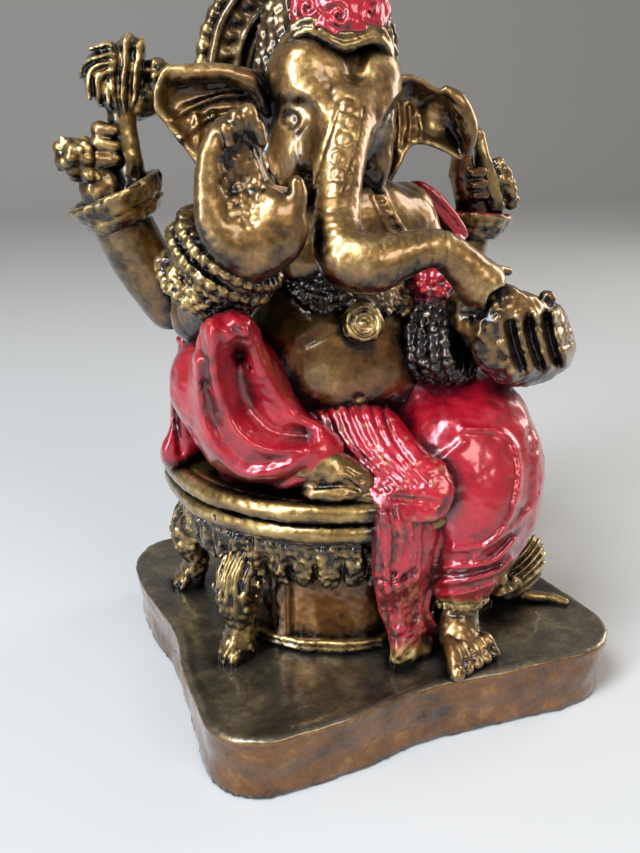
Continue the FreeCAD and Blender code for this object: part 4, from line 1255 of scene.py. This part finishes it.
# name, sculpture, CAD nodes, grid step, room round the nodes (mm), material, slot
PARTS = (
    ("plinth_body", plinth, ("plinth",), COARSE, 1.5, OLIVE, PATINA),
    ("drum", throne_drum, ("throne_drum",), MIDDLE, 2, BRONZE, PATINA),
    ("foot_moulding", moulding("throne_foot_moulding"), ("throne_foot_moulding",), MIDDLE, 2, GOLD, GILT),
    ("top_moulding", moulding("throne_top_moulding"), ("throne_top_moulding",), MIDDLE, 2, GOLD, GILT),
    ("leaf_fringe", throne_leaf_fringe, ("throne_leaf_fringe",), FINE, 3, WORN_GOLD, GILT),
    ("seat", seat_core, ("seat_core",), MIDDLE, 2, BRONZE, GILT),
    ("rim_lower", seat_rim("seat_rim_lower", 0.3), ("seat_rim_lower",), MIDDLE, 2, GOLD, GILT),
    ("rim_upper", seat_rim("seat_rim_upper", 0.0), ("seat_rim_upper",), MIDDLE, 2, GOLD, GILT),
    ("legs_front", throne_legs(210.5, 329.5), ("throne_legs_front",), FINE, 3, WORN_GOLD, GILT),
    ("legs_back", throne_legs(153.0, 27.0), ("throne_legs_back",), FINE, 3, WORN_GOLD, GILT),
    ("hip", hips, ("hips",), MIDDLE, 3, LACQUER, RED),
    ("round_belly", belly, ("belly",), MIDDLE, 3, BRONZE, PATINA),
    ("torso", chest, ("chest",), MIDDLE, 3, SKIN, GILT),
    ("head_and_trunk", head_and_trunk, ("head", "trunk_root", "trunk_tip"), FINE, 3, SKIN, GILT),
    ("ear_right_flap", ear_right, ("ear_right",), FINE, 3, SKIN, GILT),
    ("ear_left_flap", ear_left, ("ear_left",), FINE, 3, SKIN, GILT),
    ("tusk", right_tusk, ("right_tusk",), FINE, 2, GOLD, GILT),
    ("wavy_headband", headband, ("headband",), FINE, 2, GOLD, GILT),
    ("crown_tier_lower", crown(118.5, 140.0), ("crown_lower_tier",), FINE, 2, DARK_GOLD, GILT),
    ("crown_tier_upper", crown(139.0, 156.0), ("crown_upper_tier",), FINE, 2, GOLD, GILT),
    ("plaque", crown_plaque, ("crown_plaque",), FINE, 2, LACQUER, RED),
    ("halo_plate", halo_disc, ("halo_disc",), FINE, 2, DARK_GOLD, TARNISH),
    ("halo_beads", halo_bead_ring, ("halo_bead_ring",), FINE, 2, GOLD, GILT),
    ("necklaces", necklace, ("necklace",), FINE, 3, SILVER_AND_GOLD, TARNISH),
    ("pendant", medallion, ("medallion",), FINE, 2, GOLD, GILT),
    ("arm_right_front", limb((-22, 1, 97.5, 7.2), (-31.5, -3, 88.5, 6.6), (-34.2, -6.0, 82.2, 6.0)),
     ("right_front_upper_arm",), MIDDLE, 3, SKIN, GILT),
    ("forearm_right_front",
     limb((-34.0, -6.0, 82.0, 5.9), (-33.0, -13, 86.8, 5.8), (-31.9, -19.5, 91.8, 5.0)),
     ("right_front_forearm",), MIDDLE, 3, SKIN, GILT),
    ("bangles_right", right_front_bracelet, ("right_front_bracelet",), FINE, 3, GOLD, GILT),
    ("palm_right", right_front_hand, ("right_front_hand",), FINE, 3, SKIN, GILT),
    ("arm_left_front", limb((11, 1, 97.5, 7.4), (14.6, -2, 88.0, 6.4), (15.0, -5.4, 79.2, 5.6)),
     ("left_front_upper_arm",), MIDDLE, 3, SKIN, GILT),
    ("forearm_left_front", limb((15.0, -5.4, 79.0, 5.5), (11.5, -14, 76.6, 5.4), (12.2, -22.5, 76.4, 5.0)),
     ("left_front_forearm",), MIDDLE, 3, SKIN, GILT),
    ("bangles_left", left_front_bracelet, ("left_front_bracelet",), FINE, 3, SILVER, TARNISH),
    ("palm_left", left_front_hand, ("left_front_hand",), FINE, 3, SKIN, GILT),
    ("sweet_balls", sweets, ("sweets",), FINE, 2, GOLD, GILT),
    ("arm_right_rear", limb((-20, 5.5, 97, 5.6), (-30, 7.0, 88.5, 5.4), (-36.4, 7.5, 82.4, 5.0)),
     ("right_rear_upper_arm",), MIDDLE, 3, SKIN, GILT),
    ("forearm_right_rear", limb((-36.6, 7.5, 82.0, 5.4), (-41.8, 7.8, 90.6, 5.8), (-45.6, 8.0, 99.0, 5.6)),
     ("right_rear_forearm",), MIDDLE, 3, SKIN, GILT),
    ("cuff_right_rear", cuff((-43.6, 7.8, 98.0), (-46.4, 8.0, 104.4), 9.6), ("right_rear_cuff",), FINE, 3,
     GOLD, GILT),
    ("fist_right_rear", right_rear_hand, ("right_rear_hand",), FINE, 3, SKIN, GILT),
    ("sceptre", lotus_sceptre, ("lotus_sceptre",), FINE, 3, GOLD, GILT),
    ("arm_left_rear", limb((8, 5.5, 97, 6.0), (19, 8.0, 89.0, 5.6), (27.0, 9, 81.0, 5.0)),
     ("left_rear_upper_arm",), MIDDLE, 3, SKIN, GILT),
    ("forearm_left_rear", limb((27.4, 9, 80.6, 5.2), (31.6, 9.4, 87.0, 5.2), (34.2, 9.8, 94.5, 4.6)),
     ("left_rear_forearm",), MIDDLE, 3, SKIN, GILT),
    ("cuff_left_rear", cuff((33.2, 9.6, 91.4), (33.8, 9.8, 97.4), 9.6), ("left_rear_cuff",), FINE, 3,
     GOLD_AND_RED, GILT),
    ("fist_left_rear", left_rear_hand, ("left_rear_hand",), FINE, 3, BRONZE, GILT),
    ("goad", goad_blade, ("goad_blade",), FINE, 3, GOLD, GILT),
    ("cloth_right_leg", right_leg, ("right_shin_cloth", "right_thigh_cloth"), MIDDLE, 8, LACQUER, RED),
    ("cloth_left_leg", left_leg, ("left_shin_cloth", "left_thigh_cloth"), MIDDLE, 3, LACQUER, RED),
    ("sash_over_lap", lap_sash, ("lap_sash",), FINE, 3, LACQUER, RED),
    ("sash_end", sash_tail, ("sash_tail",), FINE, 3, LACQUER, RED),
    ("scarf_behind_knee", side_scarf, ("side_scarf",), MIDDLE, 3, LACQUER, RED),
    ("shawl", shoulder_shawl, ("shoulder_shawl",), FINE, 5, LACQUER, RED),
    ("foot_right", right_foot, ("right_foot",), FINE, 3, SKIN, GILT),
    ("foot_left", left_foot, ("left_foot",), FINE, 3, SKIN, GILT),
    ("anklet", left_anklet, ("left_anklet",), FINE, 3, GOLD, GILT),
    ("mouse_trunk", mouse_body, ("mouse_body",), FINE, 3, GOLD, GILT),
    ("mouse_face", mouse_head, ("mouse_head",), FINE, 3, GOLD, GILT),
    ("mouse_tail_cord", mouse_tail, ("mouse_tail",), FINE, 3, GOLD, GILT),
)


def make_piece(name, points, quads, shades, nodes, material, slot):
    mesh = bpy.data.meshes.new(name)
    mesh.vertices.add(len(points))
    mesh.vertices.foreach_set("co", (points * MM).astype(np.float32).ravel())
    mesh.loops.add(len(quads) * 4)
    mesh.loops.foreach_set("vertex_index", quads.astype(np.int32).ravel())
    mesh.polygons.add(len(quads))
    mesh.polygons.foreach_set("loop_start", np.arange(0, len(quads) * 4, 4, dtype=np.int32))
    mesh.update(calc_edges=True)
    mesh.polygons.foreach_set("use_smooth", np.ones(len(quads), bool))
    for key, values in zip(("shade", "wear", "second_paint_and_highlight"), shades):
        mesh.attributes.new(key, "FLOAT", "POINT").data.foreach_set("value", values.astype(np.float32))
    mesh.materials.append(material)
    piece = bpy.data.objects.new(name, mesh)
    bpy.context.scene.collection.objects.link(piece)
    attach(piece, "root")
    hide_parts(*nodes)


THREADS = 4


def make_figure():
    """Works out all the skins side by side, then makes the pieces in their order."""
    low, field = crowd(PARTS)

    def work(part):
        name, sculpt, nodes, step, room, _, _ = part
        coarser = 1.0
        points, quads = skin_of(sculpt, nodes, step * coarser, room)
        return points, quads, shades_of(points, quads, sculpt, TINTS.get(name), low, field)

    with ThreadPoolExecutor(THREADS) as pool:
        skins = list(pool.map(work, PARTS))
    for part, (points, quads, shades) in zip(PARTS, skins):
        name, _, nodes, _, _, material, slot = part
        make_piece(name, points, quads, shades, nodes, material, slot)


# ---- camera, floor and light ----------------------------------------------------------------

LENS, SENSOR = 35.61, 36.0                           # focal length and width of the sensor, mm
LINE_OF_SIGHT = (0.3768, 0.867, -0.3259)


def make_camera():
    data = bpy.data.cameras.new("camera")
    data.lens = LENS
    data.sensor_width = SENSOR
    camera = bpy.data.objects.new("camera", data)
    camera.location = [value * MM for value in EYE_PLACE]
    camera.rotation_mode = "QUATERNION"
    camera.rotation_quaternion = Vector(LINE_OF_SIGHT).to_track_quat("-Z", "Y")
    data.clip_start = 0.005
    bpy.context.scene.collection.objects.link(camera)
    bpy.context.scene.camera = camera


def plain(name, colour, roughness):
    material = bpy.data.materials.new(name)
    material.use_nodes = True
    shader = material.node_tree.nodes["Principled BSDF"]
    shader.inputs["Base Color"].default_value = (*colour, 1)
    shader.inputs["Roughness"].default_value = roughness
    return material


def make_floor():
    """Wide pale floor that curves up far behind the figure."""
    profile = [(-1.6, 0.0), (1.2, 0.0)]
    profile += [(1.2 + 0.8 * math.sin(a), 0.8 - 0.8 * math.cos(a)) for a in np.linspace(0.1, math.pi / 2, 12)]
    profile += [(2.0, 3.0)]
    points = [(x, y, z - 0.0001) for y, z in profile for x in (-3.0, 3.0)]
    faces = [(2 * i, 2 * i + 1, 2 * i + 3, 2 * i + 2) for i in range(len(profile) - 1)]
    mesh = bpy.data.meshes.new("floor")
    mesh.from_pydata(points, [], faces)
    mesh.polygons.foreach_set("use_smooth", [True] * len(faces))
    mesh.materials.append(plain("floor_paint", (0.62, 0.61, 0.60), 0.6))
    floor = bpy.data.objects.new("floor", mesh)
    bpy.context.scene.collection.objects.link(floor)
    floor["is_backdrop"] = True


def make_light(name, place, aim, size, power, colour):
    data = bpy.data.lights.new(name, "AREA")
    data.shape = "RECTANGLE"
    data.size, data.size_y = size
    data.energy = power
    data.color = colour
    light = bpy.data.objects.new(name, data)
    light.location = place
    light.rotation_mode = "QUATERNION"
    light.rotation_quaternion = (Vector(aim) - Vector(place)).to_track_quat("-Z", "Y")
    bpy.context.scene.collection.objects.link(light)


def make_lights():
    centre = (0.0, 0.0, 0.08)
    make_light("skylight", (-0.45, -0.25, 0.75), centre, (0.30, 0.40), 7.0, (0.84, 0.92, 1.0))
    make_light("window", (-0.72, -0.30, 0.32), centre, (0.16, 0.55), 5.5, (0.74, 0.87, 1.0))
    make_light("front", (0.20, -0.85, 0.65), centre, (0.5, 0.3), 3.2, (1.0, 0.95, 0.86))
    make_light("right", (0.8, 0.1, 0.35), centre, (0.3, 0.5), 2.4, (1.0, 0.94, 0.86))
    world = bpy.data.worlds.new("room")
    world.use_nodes = True
    world.node_tree.nodes["Background"].inputs["Color"].default_value = (0.60, 0.58, 0.55, 1)
    world.node_tree.nodes["Background"].inputs["Strength"].default_value = 0.50
    bpy.context.scene.world = world
    bpy.context.scene.view_settings.view_transform = "Standard"


make_camera()
make_floor()
make_lights()
make_figure()
[[list(corner) for corner in box] for box in (SIZE_AT_START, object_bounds())]
